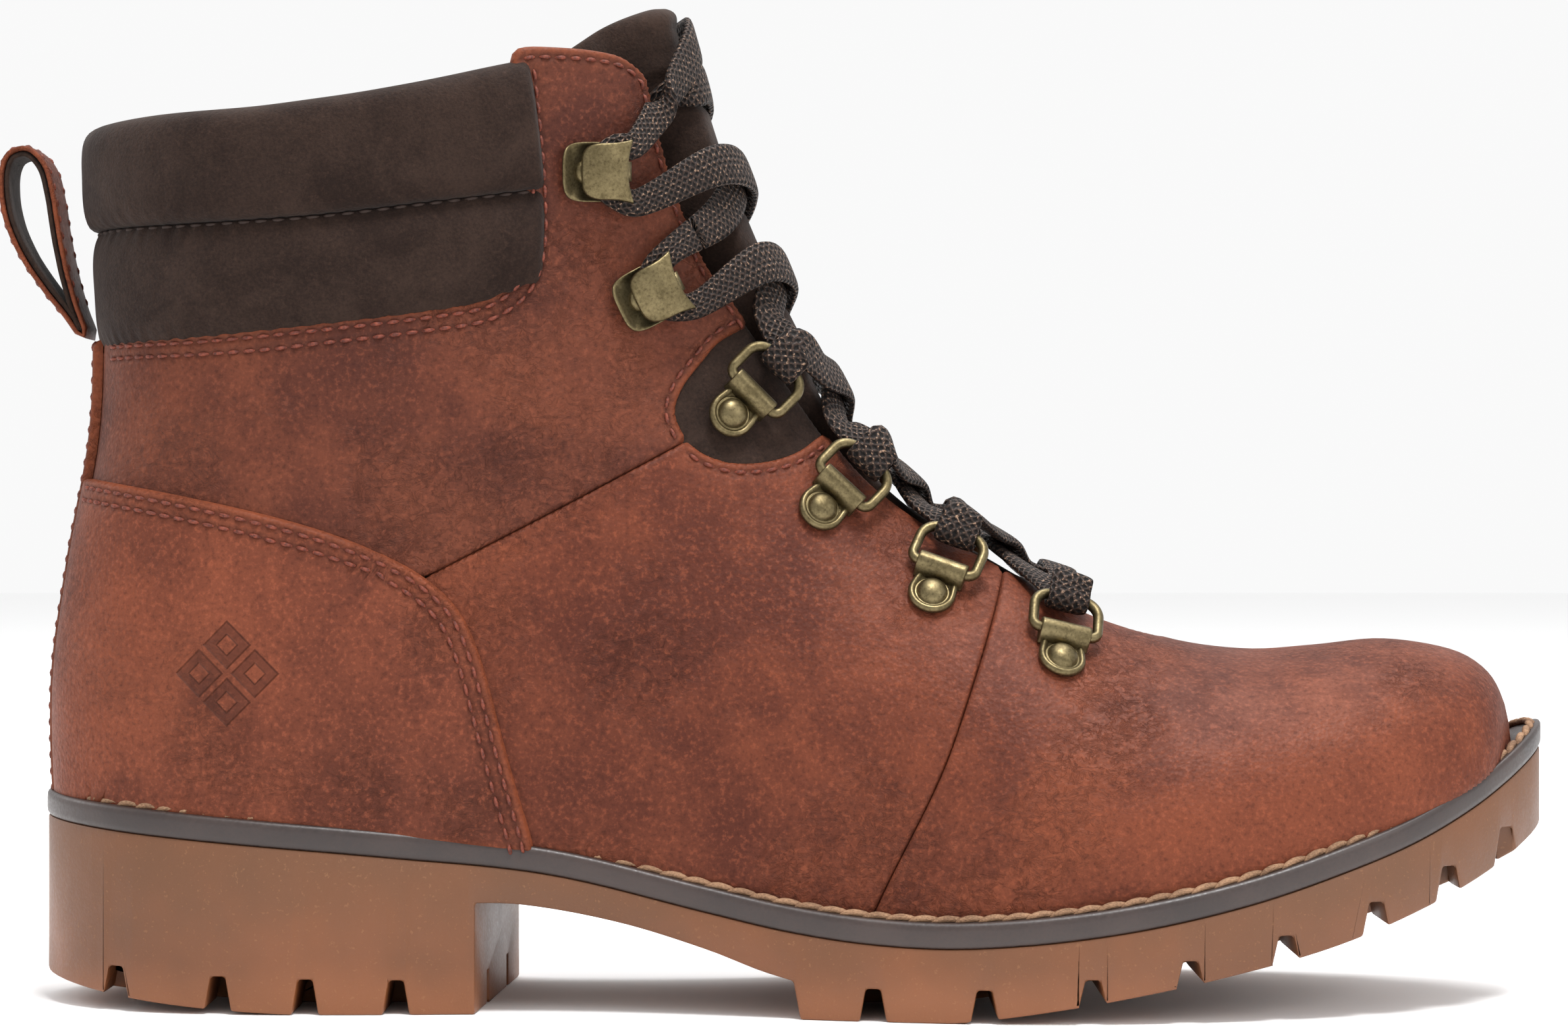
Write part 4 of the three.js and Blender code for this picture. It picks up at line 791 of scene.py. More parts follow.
gum = Finish("gum_rubber", Specular_IOR_Level=0.45)
height = gum.axis(2)
cloud = gum.noise(30, 3, 0.6)
speck = gum.noise(0.7, 2, 0.6)
amber_and_glow = gum.mix(gum.between(cloud, 0.3, 0.7), srgb(116, 68, 37), srgb(101, 61, 34))
# Darker towards the top of the heel. Painted light: lighter and more orange towards the ground, a painted glow of
# light through the translucent gum.
amber_and_glow = gum.mix(gum.between(height + cloud * 0.012, 0.012, 0.034) * 0.55, amber_and_glow, srgb(86, 58, 37))
amber_and_glow = gum.mix(gum.between(height + cloud * 0.006, 0.014, 0.004) * 0.6, amber_and_glow, srgb(136, 82, 47))
amber_and_glow = gum.mix(gum.between(speck, 0.6, 0.74) * 0.3, amber_and_glow, srgb(146, 104, 70))
gum.set("Base Color", amber_and_glow)
gum.set("Roughness", gum.between(speck * 0.5 + cloud * 0.5, 0.3, 0.7, 0.42, 0.58))
gum.relief(speck * 0.5 + gum.noise(2.4, 4) * 0.5, 0.12)
gum.coat(outsole)

# ---- Midsole band and its welt stitching -----------------------------------------------------------------------
# A dark rubber midsole that shows as a thin band, with a shelf round the upper's foot. A twisted thread is sewn
# round on the shelf, close against the leather.
BAND_POINTS = 420
BAND_PROFILE = [  # (inset from the sole's outline, height over the shelf)
    (WELT_SHELF + 4.5, -0.2), (WELT_SHELF + 0.5, -0.2), (WELT_SHELF - 0.6, 0.0), (1.6, 0.0), (0.75, -0.05),
    (0.3, -0.3), (0.05, -0.8), (0.0, -1.6), (0.0, -WELT_BAND + 1.2), (0.08, -WELT_BAND + 0.55),
    (0.4, -WELT_BAND + 0.12), (0.9, -WELT_BAND), (WELT_SHELF + 4.5, -WELT_BAND),
]


def grid_faces(rows, columns, closed=False, ends=None):
    """Faces between rows of points. Ends joins the last row to the first, or caps both."""
    span = columns if closed else columns - 1
    last = (rows - 1) * columns
    faces = []
    for low in range(0, last, columns):
        for j in range(span):
            k = (j + 1) % columns
            faces.append((low + j, low + k, low + columns + k, low + columns + j))
    if ends == "joined":
        faces += [(last + j, last + (j + 1) % columns, (j + 1) % columns, j) for j in range(columns)]
    if ends == "capped":
        faces += [tuple(range(columns)), tuple(range(last, last + columns))[::-1]]
    return faces


rings = []
for inset, rise in BAND_PROFILE:
    outline = sole_outline(inset, BAND_POINTS)
    rings.append(np.column_stack([outline, welt_top(outline[:, 0]) + rise]))
midsole = mesh_piece(
    "midsole_band", np.vstack(rings), grid_faces(len(rings), BAND_POINTS, closed=True, ends="joined"))
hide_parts("midsole")
band_rubber = Finish("dark_band_rubber", Specular_IOR_Level=0.5)
band_tone = band_rubber.noise(22, 4, 0.6)
band_grain = band_rubber.noise(0.6, 3)
band_rubber.set("Base Color", band_rubber.mix(
    band_rubber.between(band_tone * 0.7 + band_grain * 0.3, 0.3, 0.7), srgb(40, 31, 29), srgb(58, 45, 41)))
band_rubber.set("Roughness", band_rubber.between(band_grain, 0.3, 0.7, 0.36, 0.5))
band_rubber.relief(band_grain * 0.4 + band_rubber.noise(5, 3) * 0.6, 0.08)
band_rubber.coat(midsole)

WELT_PITCH, WELT_THREAD, SHELF_LENGTH = 5.4, 0.62, 820
THREAD_AROUND, BEAD_STEPS = 8, 8
shelf_line = evenly(
    sole_outline(WELT_SHELF - 1.9, 1200), count=int(SHELF_LENGTH / WELT_PITCH), closed=True)
points, faces = [], []
for middle, run in zip(shelf_line, heading(shelf_line)):
    slope = float(welt_top(middle[0] + 1) - welt_top(middle[0] - 1)) / 2 * run[0]
    along = unit(np.array([run[0], run[1], slope]))
    across = np.array([-run[1], run[0], 0])
    up = np.cross(along, across)
    up = up if up[2] > 0 else -up
    foot = np.array([middle[0], middle[1], float(welt_top(middle[0])) + 0.42])
    first = len(points)
    for k in range(BEAD_STEPS + 1):
        u = k / BEAD_STEPS * 2 - 1
        radius = WELT_THREAD * math.sqrt(max(0.0, 1 - abs(u) ** 3)) + 0.04
        spot = foot + along * u * WELT_PITCH * 0.56 + across * u * 0.5 + up * (0.16 - 0.55 * u * u)
        for q in range(THREAD_AROUND):
            turn = 2 * math.pi * q / THREAD_AROUND + u * 0.8
            points.append(spot + across * radius * 1.15 * math.cos(turn) + up * radius * math.sin(turn))
    for face in grid_faces(BEAD_STEPS + 1, THREAD_AROUND, closed=True, ends="capped"):
        faces.append(tuple(first + q for q in face))


def outward(piece):
    """Turns a piece's faces to look outwards."""
    shape = bmesh.new()
    shape.from_mesh(piece.data)
    bmesh.ops.recalc_face_normals(shape, faces=shape.faces)
    shape.to_mesh(piece.data)
    shape.free()
    piece.data.update()
    return piece


welt_stitches = outward(mesh_piece("welt_stitches", points, faces))
welt_thread = grained("welt_thread", (0.5, 3, 0.7), srgb(92, 66, 48), srgb(164, 128, 98), 0.75, 0.16, broad=(7, 2),
                      stretch=(1, 1, 2.5), Specular_IOR_Level=0.3)
welt_thread.coat(welt_stitches)

# ---- Upper panels ----------------------------------------------------------------------------------------------
# Oiled leather, 2 mm thick, cut to lines drawn in side view and lasted round the form. The vamp is one piece over
# the toe. The seams are closed ones: the neighbours' edges are turned in and meet in a fine groove.


INTO_WELT = 1.4  # how far the leather goes down behind the shelf


def welt_turn(t, side, drop):
    """The turn at which the form goes below the welt's shelf."""

    def above(turn):
        place = last_point(t, side * turn)
        return place[:, 2] > welt_top(place[:, 0]) - drop

    low, high = bisected(np.zeros_like(t), np.ones_like(t), above)
    return side * (low + high) / 2


def stay_turn(t, half, side):
    """The turn at which the back of the form is a given half width wide."""
    low, high = bisected(
        np.full_like(t, 0.55), np.ones_like(t), lambda turn: np.abs(last_point(t, side * turn)[:, 1]) > half)
    return side * (low + high) / 2


def between_sections(start, end):
    return np.linspace(start, end, max(3, int(abs(end - start) * 14)))


def open_edge(start, end, side):
    """The lace edge of the open front, between two sections."""
    t = between_sections(start, end)
    return np.column_stack([t, turn_at(t, open_half(t), side)])


def welt_line(start, end, side):
    t = between_sections(start, end)
    return np.column_stack([t, welt_turn(t, side, INTO_WELT)])


def stay_line(start, end, side, half):
    t = np.linspace(start, end, 40)
    return np.column_stack([t, stay_turn(t, half, side)])


def drawn(points, side, back=None):
    """A line drawn in side view, kept to where the leather is: behind the open front, and ahead of the stay."""
    ta = locate(rounded(points, step=0.7), side)
    t, a = ta.T
    keep = np.abs(a) >= np.abs(turn_at(t, open_half(t), side))
    if back is not None:
        last_turn = np.abs(stay_turn(np.maximum(t, 17.05), back, side))
        keep &= (np.abs(a) <= last_turn) | (t < HEEL_CORNER)
    return ta[keep]


def under_edge(line, distance):
    """A line moved across its run, measured on the form."""
    return stepped(line, np.gradient(last_point(*line.T), axis=0), distance)


collar_border = [(-128, 123.8), (-107.9, 124.3), (-85.5, 126.2), (-64.2, 128.7), (-54.5, 130.6), (-49.6, 134.3),
                 (-47.6, 140), (-47.4, 150), (-48.4, 163.5), (-49.5, 173.6)]
tab_top = [(-49.5, 173.6), (-48.6, 175.9), (-43.7, 176.6), (-31, 176), (-26.5, 173.6), (-24, 170), (-21.5, 163)]
insert_back = [(-4, 127.5), (-11.5, 123.4), (-14.8, 119.6), (-18.6, 114.5), (-19.9, 109.8), (-17.8, 104.8)]
insert_low = [(-17.8, 104.8), (-14.5, 102.4), (-9.4, 100.8), (-2.9, 101.1), (2.9, 103), (7.3, 106.1), (14, 110)]
vamp_seam = [(44, 90), (41.3, 80.4), (34, 59.4), (28.2, 44), (16.2, 19.4), (11, 5)]
cross_seam = [(-17.8, 104.8), (-40, 92.8), (-64.2, 80.2)]
overlay_edge = [(-133, 97.9), (-128.6, 97.6), (-107.6, 93.9), (-88.4, 89.4), (-75.6, 84.9), (-65.6, 79.6),
                (-59.2, 73.4), (-55.3, 64.9), (-51.3, 50.6), (-48.5, 40.6), (-45.9, 31.8), (-43.8, 20)]
hidden_edge = [(-64.2, 80.2), (-74, 73), (-69, 60), (-62.5, 40), (-58, 22)]
shaft_hem = [(-64.2, 80.2), (-74, 77), (-88.4, 82), (-107.6, 86), (-133, 89)]

STAY_HALF = 6.6
STAY_TOP = 21.09
corner_t = np.linspace(HEEL_CORNER, HEEL_CORNER + 1, 200)[::-1]
over_welt = base_z(corner_t) - welt_top(base_x(corner_t)) + INTO_WELT
LEVEL_WELT = float(np.interp(0, -over_welt, corner_t))  # the section where the back of the form meets the welt


def above_welt(line):
    """The part of a line that runs above the welt."""
    place = last_point(*line.T)
    return line[place[:, 2] > welt_top(place[:, 0]) - INTO_WELT]


sides = (("lateral", -1), ("medial", 1))
THROAT, TOE = 7.1, 0.25  # the sections where the open front ends, and where the vamp's two sides meet
seams = {word: above_welt(drawn(vamp_seam, side)) for word, side in sides}
outer_seam, inner_seam = seams["lateral"], seams["medial"]
vamp_outline = np.vstack([
    outer_seam[::-1], open_edge(outer_seam[0][0], THROAT, -1), open_edge(THROAT, inner_seam[0][0], 1),
    inner_seam, welt_line(inner_seam[-1][0], TOE, 1), welt_line(TOE, outer_seam[-1][0], -1),
])
lace_edges = [open_edge(THROAT, seams[word][0][0], side) for word, side in sides]
vamp = cut_panel("vamp_leather", vamp_outline, round_over=0.8, spacing=2.6, raw=lace_edges)
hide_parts("vamp")
upper_pieces = [vamp]
insert_pieces = []
INSERT_MIDDLE, INSERT_LARGER = np.array([-5, 112]), 1.13  # the insert goes on under the edges of its opening
OVERLAY_LEVEL, STAY_LEVEL = 1.7, 2.1  # how far out of the form the heel's overlays and the back stay lie
sewn_rows = []  # lines on the form where thread shows, with the height they lie at
for word, side in sides:
    seam = seams[word]
    cross = drawn(cross_seam, side)
    low_edge = drawn(insert_low, side)
    back_edge = drawn(insert_back, side)
    hidden = above_welt(drawn(hidden_edge, side))
    lace_edge = open_edge(low_edge[-1][0], seam[0][0], side)
    quarter_outline = np.vstack([
        cross[::-1], low_edge, lace_edge[1:-1], seam, welt_line(seam[-1][0], hidden[-1][0], side)[1:-1],
        hidden[::-1][:-1],
    ])
    insert_low_row = under_edge(low_edge, 1.9 * side)[2:-2]
    quarter = cut_panel(f"quarter_leather_{word}", quarter_outline, rows=[insert_low_row], round_over=0.8,
                        raw=[low_edge, lace_edge])
    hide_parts(f"quarter_{word}")
    collar = drawn(collar_border, side, STAY_HALF - 1)
    top = drawn(tab_top, side)
    hem = drawn(shaft_hem, side, STAY_HALF - 1)
    tab_edge = open_edge(top[-1][0], back_edge[0][0], side)
    shaft_outline = np.vstack([
        collar, top[1:], tab_edge[1:-1], back_edge, cross[1:], hem[1:],
        stay_line(hem[-1][0], collar[0][0], side, STAY_HALF - 1)[1:-1],
    ])
    collar_rows = [under_edge(collar, d * side)[3:-2] for d in (1.7, 4.0)]
    tab_row = under_edge(np.vstack([top[4:], tab_edge[1:]]), 1.9 * side)
    insert_row = under_edge(back_edge, 1.9 * side)[2:-1]
    shaft_rows = collar_rows + [tab_row, insert_row]
    shaft = cut_panel(f"shaft_leather_{word}", shaft_outline, rows=shaft_rows, raw=[collar, top, tab_edge, back_edge])
    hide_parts(f"shaft_panel_{word}")
    opening = np.array(insert_back + insert_low[1:])
    insert_line = drawn(INSERT_MIDDLE + (opening - INSERT_MIDDLE) * INSERT_LARGER, side)
    insert_outline = np.vstack([insert_line, open_edge(insert_line[-1][0], insert_line[0][0], side)[1:-1]])
    insert = cut_panel(f"flex_insert_nubuck_{word}", insert_outline, level=-0.9, thick=0.8, skirt=0.3, raw=[])
    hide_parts(f"flex_insert_{word}")
    overlay = above_welt(drawn(overlay_edge, side, STAY_HALF - 1))
    start_t = overlay[0][0]
    overlay_outline = np.vstack([
        overlay, welt_line(overlay[-1][0], 16.6, side)[1:], welt_line(16.6, LEVEL_WELT - 0.12, side)[1:],
        stay_line(LEVEL_WELT - 0.1, start_t, side, STAY_HALF - 1.2)[1:-1],
    ])
    overlay_rows = [under_edge(overlay, d * side)[2:] for d in (1.8, 4.1)]
    heel = cut_panel(f"heel_leather_{word}", overlay_outline, rows=overlay_rows, level=OVERLAY_LEVEL, thick=1.5,
                     skirt=0.3, round_over=1.2)
    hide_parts(f"heel_overlay_{word}")
    upper_pieces += [quarter, shaft, heel]
    insert_pieces.append(insert)
    sewn_rows += [(row, 0.0) for row in [insert_low_row] + shaft_rows]
    sewn_rows += [(row, OVERLAY_LEVEL) for row in overlay_rows]

# The back stay covers the seam behind the heel, from the collar to the welt.
stay_t = np.linspace(LEVEL_WELT, STAY_TOP, 90)
stay_left = np.column_stack([stay_t, np.abs(stay_turn(stay_t, STAY_HALF, 1))])
stay_right = np.column_stack([stay_t[::-1], 2 - np.abs(stay_turn(stay_t[::-1], STAY_HALF, -1))])
stay_rows = [under_edge(stay_left, -1.5), under_edge(stay_right, -1.5)]
back_stay = cut_panel("back_stay_leather", np.vstack([stay_left, stay_right]), rows=stay_rows, level=STAY_LEVEL,
                      thick=1.7, skirt=0.3, round_over=1.0, spacing=2.2)
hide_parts("back_stay")
upper_pieces.append(back_stay)
sewn_rows += [(row, STAY_LEVEL - 0.2) for row in stay_rows]
upper_leather.coat(*upper_pieces)
MARK = ((TO_FRAME[0] - 101.3) * MM, 62.1 * MM)
# Painted light: besides its pressed mark, the outer heel overlay gets a slightly lighter copy of the upper leather,
# for its brighter lit face.
marked_leather = oiled_leather("marked_heel_leather_painted_light", srgb(118, 63, 43), srgb(97, 50, 34), srgb(73, 37, 27), MARK)
marked_leather.coat(*(piece for piece in upper_pieces if piece.name == "heel_leather_lateral"))
# Painted shade: the shaft panels get a darker copy of the upper leather, standing for the steep shaft catching less
# of the overhead light.
shaft_leather = oiled_leather("darker_shaft_leather", srgb(102, 55, 38), srgb(83, 43, 31), srgb(61, 31, 24))
shaft_leather.coat(*(piece for piece in upper_pieces if piece.name.startswith("shaft")))
dark_nubuck.coat(*insert_pieces)

# ---- Thread ----------------------------------------------------------------------------------------------------
# Rust-coloured waxed thread, locked through the leather: each stitch dips into its holes at both ends.


def sew(name, lines, pitch=3.0, length=2.35, radius=0.36, body="boot"):
    """Stitches along lines of (places, normals)."""
    points, faces = [], []
    around = 6
    widths, heights = (0.55, 0.95, 1.08, 0.95, 0.55), (-0.42, -0.02, 0.08, -0.02, -0.42)
    for places, ups in lines:
        run = travelled(places)
        number = int(run[-1] / pitch)
        for middle in (np.arange(number) + 0.5) * run[-1] / max(number, 1):
            at = middle + np.linspace(-0.5, 0.5, len(widths)) * length
            spots = np.column_stack([np.interp(at, run, column) for column in places.T])
            up = unit(np.array([np.interp(middle, run, column) for column in ups.T]))
            across = np.cross(up, unit(spots[-1] - spots[0]))
            first = len(points)
            for spot, wide, height in zip(spots, widths, heights):
                for turn in 2 * math.pi * np.arange(around) / around:
                    out = across * math.cos(turn) + up * math.sin(turn)
                    points.append(spot + up * height + radius * wide * out)
            for face in grid_faces(len(widths), around, closed=True, ends="capped"):
                faces.append(tuple(first + q for q in face))
    return outward(mesh_piece(name, points, faces, body=body))


def on_form(row, level):
    row = evenly(row, count=max(4, len(row) * 2))
    return on_last(row[:, 0], row[:, 1], np.full(len(row), level)), last_normal(*row.T)


thread = grained("rust_thread", (0.6, 3, 0.6), srgb(70, 30, 21), srgb(122, 58, 40), 0.6, 0.12,
                 Specular_IOR_Level=0.35)
stitches = sew("upper_stitches", [on_form(row, level - 0.02) for row, level in sewn_rows])
thread.coat(stitches)

# ---- Lining and footbed ----------------------------------------------------------------------------------------
# A brushed textile sock inside the upper, and a loose moulded footbed at its bottom.
LINING_DEPTH = 5.8


# The collar's three lines in side view: its rim, the channel between its rolls, and the lower roll's foot.
top_line = [
    (-131, 163), (-118, 164), (-95, 165.2), (-71, 168.4), (-49.5, 173), (-40, 175.5), (-31, 175.6), (-24, 171),
]
channel_line = [(-129.4, 144), (-107, 144.3), (-85.5, 145.4), (-66, 147.6), (-47.4, 150), (-40, 151)]
roll_border = collar_border[:5] + [(-48.5, 133), (-42, 135)]


def by_turn(points):
    """A line drawn in side view, as its section at each turn."""
    t, a = locate(rounded(points, step=0.7), 1).T
    order = np.argsort(a)
    return lambda turn: np.interp(np.abs(turn), a[order], t[order])


def round_back(turn):
    """Turns that count on past the middle of the back, as turns of the other side."""
    return np.where(turn > 1, turn - 2, turn)


top_at, channel_at, border_at = by_turn(top_line), by_turn(channel_line), by_turn(roll_border)
LINING_START, LINING_TOP, CLOSED_BACK = 1.2, 22.9, 15.5  # past this section a row goes all round the back
ROW_POINTS = 161
lining_rows = []
for t in LINING_START + (LINING_TOP - LINING_START) * np.linspace(0, 1, 90):
    near = abs(float(turn_at(t, max(float(open_half(t)) - 1.5, 0.01)))) if t > 7.4 else 0.004
    if t >= CLOSED_BACK:
        turn = near + (2 - 2 * near) * np.linspace(0, 1, ROW_POINTS)
    else:
        deep = float(np.interp(t, [1, 3, 14, CLOSED_BACK], [0.8, 0.9, 0.93, 0.97]))
        half = np.linspace(near, deep, ROW_POINTS // 2 + 1)
        turn = np.concatenate([half, 2 - half[::-1][1:]])
    turn = round_back(turn)
    lining_rows.append(on_last(np.minimum(t, top_at(turn) - 0.25), turn, np.full(len(turn), -LINING_DEPTH)))
lining = mesh_piece("textile_lining", np.vstack(lining_rows), grid_faces(len(lining_rows), ROW_POINTS))
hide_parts("lining")
brushed = grained("brushed_lining", (0.8, 3, 0.7), srgb(40, 29, 24), srgb(66, 50, 41), 0.92, 0.35, broad=(9, 3),
                  Specular_IOR_Level=0.12)
brushed.coat(lining)

FOOTBED_INSET, FOOTBED_TOP, FOOTBED_POINTS = 10.6, 6.6, 240
FOOTBED_PROFILE = [  # (share of the way to the middle line, height)
    (0, -3.5), (0.004, -1.0), (0.012, -0.3), (0.03, 0), (0.12, -0.1), (0.35, -0.7), (0.7, -1.2), (1, -1.3),
]
plan = sole_outline(FOOTBED_INSET, FOOTBED_POINTS)
spine_x = np.clip(plan[:, 0], -104, 106)
spine = np.column_stack([spine_x, np.interp(spine_x, [-110, -40, 0, 60, 110], [0, -2, -3, -2.5, 3])])
footbed_rings = []
for share, rise in FOOTBED_PROFILE:
    x, y = (plan + (spine - plan) * share).T
    footbed_rings.append(np.column_stack([x, y, welt_top(x) + FOOTBED_TOP + rise]))
footbed = outward(mesh_piece(
    "moulded_footbed", np.vstack(footbed_rings), grid_faces(len(FOOTBED_PROFILE), FOOTBED_POINTS, closed=True)))
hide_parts("footbed")
felt = grained("footbed_cloth", (0.9, 2), srgb(104, 84, 66), srgb(134, 112, 90), 0.9, 0.3, broad=(14, 3),
               Specular_IOR_Level=0.2)
felt.coat(footbed)

# ---- Padded collar ---------------------------------------------------------------------------------------------
# Foam under nubuck, in two rolls with a sewn channel between them. The lower one tucks under the leather's edge,
# and the upper one turns over the rim and is sewn down inside.


COLLAR_POINTS, COLLAR_STEPS, COLLAR_GIRTH = 281, 44, 330


def collar_roll(name, node, profile, front_turns, puckers):
    """A roll round the back of the collar. The profile gives a section and a height out of the form for each step
    across the roll, as a function of the turn. Puckers give the depth of the fine pleats by the seams."""
    share = np.linspace(0, 1, COLLAR_POINTS)
    run = share * COLLAR_GIRTH
    ends = ease(np.minimum(share, 1 - share) / 0.012)
    grid = []
    for v in np.arange(COLLAR_STEPS + 1) / COLLAR_STEPS:
        front = front_turns[0] + (front_turns[1] - front_turns[0]) * v
        turn = round_back(front + (2 - 2 * front) * share)
        t, out = profile(np.abs(turn), v)
        soft = 0.22 * np.sin(run / 5.1 + 1.7 * np.sin(run / 23)) * np.sin(v * math.pi) ** 2
        soft += 0.3 * np.sin(run / 17 + v * 3) * np.sin(v * math.pi)
        crimp = puckers(v) * (np.sin(run * 2 * math.pi / 5.6) + 0.5 * np.sin(run * 2 * math.pi / 8.9 + 1))
        grid.append(on_last(t, turn, -1.2 * (1 - ends) + out * ends + (soft + crimp) * ends))
    piece = mesh_piece(name, np.vstack(grid), grid_faces(COLLAR_STEPS + 1, COLLAR_POINTS))
    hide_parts(node)
    return piece


def crown(v, low, high, top, sharp=2.4):
    """A cushion's profile from one seam to the other: steep by the seams and full between."""
    rise = (1 - np.abs(2 * v - 1) ** sharp) ** 0.55 if 0 < v < 1 else 0.0
    return low + (high - low) * v + (top - (low + high) / 2) * rise


def lower_profile(turn, v):
    low, high = border_at(turn) - 0.1, channel_at(turn) + 0.015
    return low + (high - low) * v, np.full(len(turn), crown(v, -1.2, -1.0, 2.0))


RIM_PATH = np.array([
    (0, -1.0), (0.3, 0.6), (1.2, 1.9), (3, 2.7), (6, 3.0), (10, 2.9), (14, 2.7), (17, 2.2), (19, 1.2), (20.2, -0.4),
    (20.7, -2.2), (20.4, -4.2), (19.2, -5.9), (17, -6.9), (13, -7.4), (9, -7.3), (6, -6.9), (4.6, -6.2), (4.2, -5.4),
])
rim_run = travelled(RIM_PATH)
rim_up, rim_out = (through(np.column_stack([rim_run / rim_run[-1], column])) for column in RIM_PATH.T)


def upper_profile(turn, v):
    low, high = channel_at(turn), top_at(turn)
    return low + (high - low) * rim_up(v) / 20.2, np.full(len(turn), float(rim_out(v)))


def pleats(*seams):
    """The depth of the pleats across a roll. Each seam is its place across the roll, a depth and a width."""
    return lambda v: sum(depth * math.exp(-((v - at) / width) ** 2) for at, depth, width in seams)


lower_front, upper_front = (float(locate([place], 1)[0, 1]) for place in ((-43.5, 142), (-44.5, 172)))
middle_front = (lower_front + upper_front) / 2
lower_roll = collar_roll("collar_lower_roll", "collar_roll_lower", lower_profile, (lower_front, middle_front),
                         pleats((0.97, 0.16, 0.1), (0.06, 0.12, 0.1)))
upper_roll = collar_roll("collar_upper_roll", "collar_roll_upper", upper_profile, (middle_front, upper_front),
                         pleats((0.03, 0.16, 0.06), (0.95, 0.15, 0.06)))
collar_nubuck = nubuck("collar_nubuck", srgb(30, 20, 16), srgb(50, 36, 29), pile=0.84)
collar_nubuck.coat(lower_roll, upper_roll)
channel_turns = round_back(np.linspace(middle_front + 0.02, 2 - middle_front - 0.02, 500))
channel_row = np.column_stack([channel_at(channel_turns) - 0.02, channel_turns])
channel_sewn = on_last(*channel_row.T, np.full(500, 0.1)), last_normal(*channel_row.T)
collar_stitches = sew("collar_stitches", [channel_sewn], pitch=3.2, length=2.5, radius=0.34)
dark_thread = grained("dark_thread", (0.6, 3), srgb(26, 18, 15), srgb(58, 42, 35), 0.7, 0.1, ramp=False,
                      Specular_IOR_Level=0.3)
dark_thread.coat(collar_stitches)

# ---- Hardware seats --------------------------------------------------------------------------------------------
# Where each ring clip and hook sits on the leather. A seat's x runs along the lace edge, y to the tongue and z out.
# Each place in side view comes with its way to the tongue.
CLIPS = [
    ((50.6, 64.2), (0.4, 4.7)), ((27.1, 76.0), (2.2, 4.2)), ((6.7, 91.8), (3.2, 3.2)), ((-9.9, 109.4), (3.4, 3.6)),
]
HOOKS = [((-24.5, 132.0), (4.5, 2.6)), ((-34.0, 153.9), (5.0, 0.2))]
# A ring's wire radius, its bar's place over the seat, its reach, its width inside, and its lean outwards.
WIRE, BAR_Y, BAR_Z, REACH, INSIDE, LIFT = 0.85, 5.2, 2.45, 8.6, 10.6, math.radians(6)
# A hook's lower face over the seat, the thickness of its plate, and the mouth between its base and cap.
HOOK_FOOT, HOOK_SHEET, HOOK_MOUTH = 0.45, 1.0, 3.2


def seat(at, aim, side):
    """A seat as an origin and three directions."""
    (t, a), (goal_t, goal_a) = locate([at, (at[0] + aim[0], at[1] + aim[1])], side)
    origin, out = last_point(t, a), last_normal(t, a)
    pull = last_point(goal_t, goal_a) - origin
    pull = unit(pull - out * pull.dot(out))
    return origin, np.array([np.cross(pull, out), pull, out])


def from_seat(where, points):
    origin, axes = where
    return origin + np.asarray(points, float) @ axes


clip_seats = {side: [seat(*place, side) for place in CLIPS] for side in (-1, 1)}
hook_seats = {side: [seat(*place, side) for place in HOOKS] for side in (-1, 1)}

# ---- Lace and its aglets ---------------------------------------------------------------------------------------
# One flat braided lace, 7.8 mm wide. It runs round the bows of the rings, crosses over the tongue, loops
# behind the hooks, goes over the top of the tongue and is tucked in inside, so it is held all the way.
LACE_WIDTH, HOOKED_WIDTH, TUCKED_WIDTH = 7.8, 5.2, 5  # it is drawn narrow in the hooks and where it is tucked in
LACE_THICK, BENT_THICK = 2.2, 1.7  # it is pressed thin round the rings
LACE_STEP, LACE_AROUND = 1.1, 20  # how far apart its sections are, and how many points each has
BEND = WIRE + 1.25  # from the wire's middle to the lace's middle, round the bow


def spot(at, face, width=LACE_WIDTH, thick=LACE_THICK):
    return np.concatenate([at, face, [width, thick]])


def round_ring(where, flip, skew):
    """Round a ring's bow, from above to below."""
    tip = np.array([0, BAR_Y + REACH * math.cos(LIFT), BAR_Z + REACH * math.sin(LIFT)])
    way = []
    for x, y, z, fy, fz in (
        (skew * 0.3, 3.6, BEND + 0.45, 0.1, 1), (0, 0.6, BEND, 0.25, 1), (0, -BEND * 0.75, BEND * 0.66, -0.75, 0.66),
        (0, -BEND, 0, -1, 0), (0, -BEND * 0.75, -BEND * 0.66, -0.75, -0.66), (0, 0.6, -BEND, 0.25, -1),
        (-skew * 0.6, 3.6, -BEND - 0.2, -0.1, -1),
    ):
        face = flip * (np.array([0, fy, fz]) @ where[1])
        way.append(spot(from_seat(where, tip + (x, y, z)), face, thick=BENT_THICK))
    return way


def round_hook(where, flip, way):
    """Round a hook's neck, drawn narrow and thick."""
    slot = HOOK_FOOT + HOOK_SHEET + HOOK_MOUTH - 1.35
    places = ((-5.6, 6.4, slot + 0.2), (-4.3, 1.9, slot), (-2.4, -0.6, slot), (0, -1.2, slot), (2.4, -0.6, slot),
              (4.3, 1.9, slot), (5.6, 6.4, slot + 0.2))
    return [spot(from_seat(where, (x * way, y, z)), flip * where[1][2], HOOKED_WIDTH) for x, y, z in places]


def over_ridge(t, lift, flip, y=0.0, width=LACE_WIDTH):
    a = 1e-6 if y == 0 else float(turn_at(t, abs(y), np.sign(y)))
    return spot(on_last(np.array(t), np.array(a), lift), flip * last_normal(t, a), width)


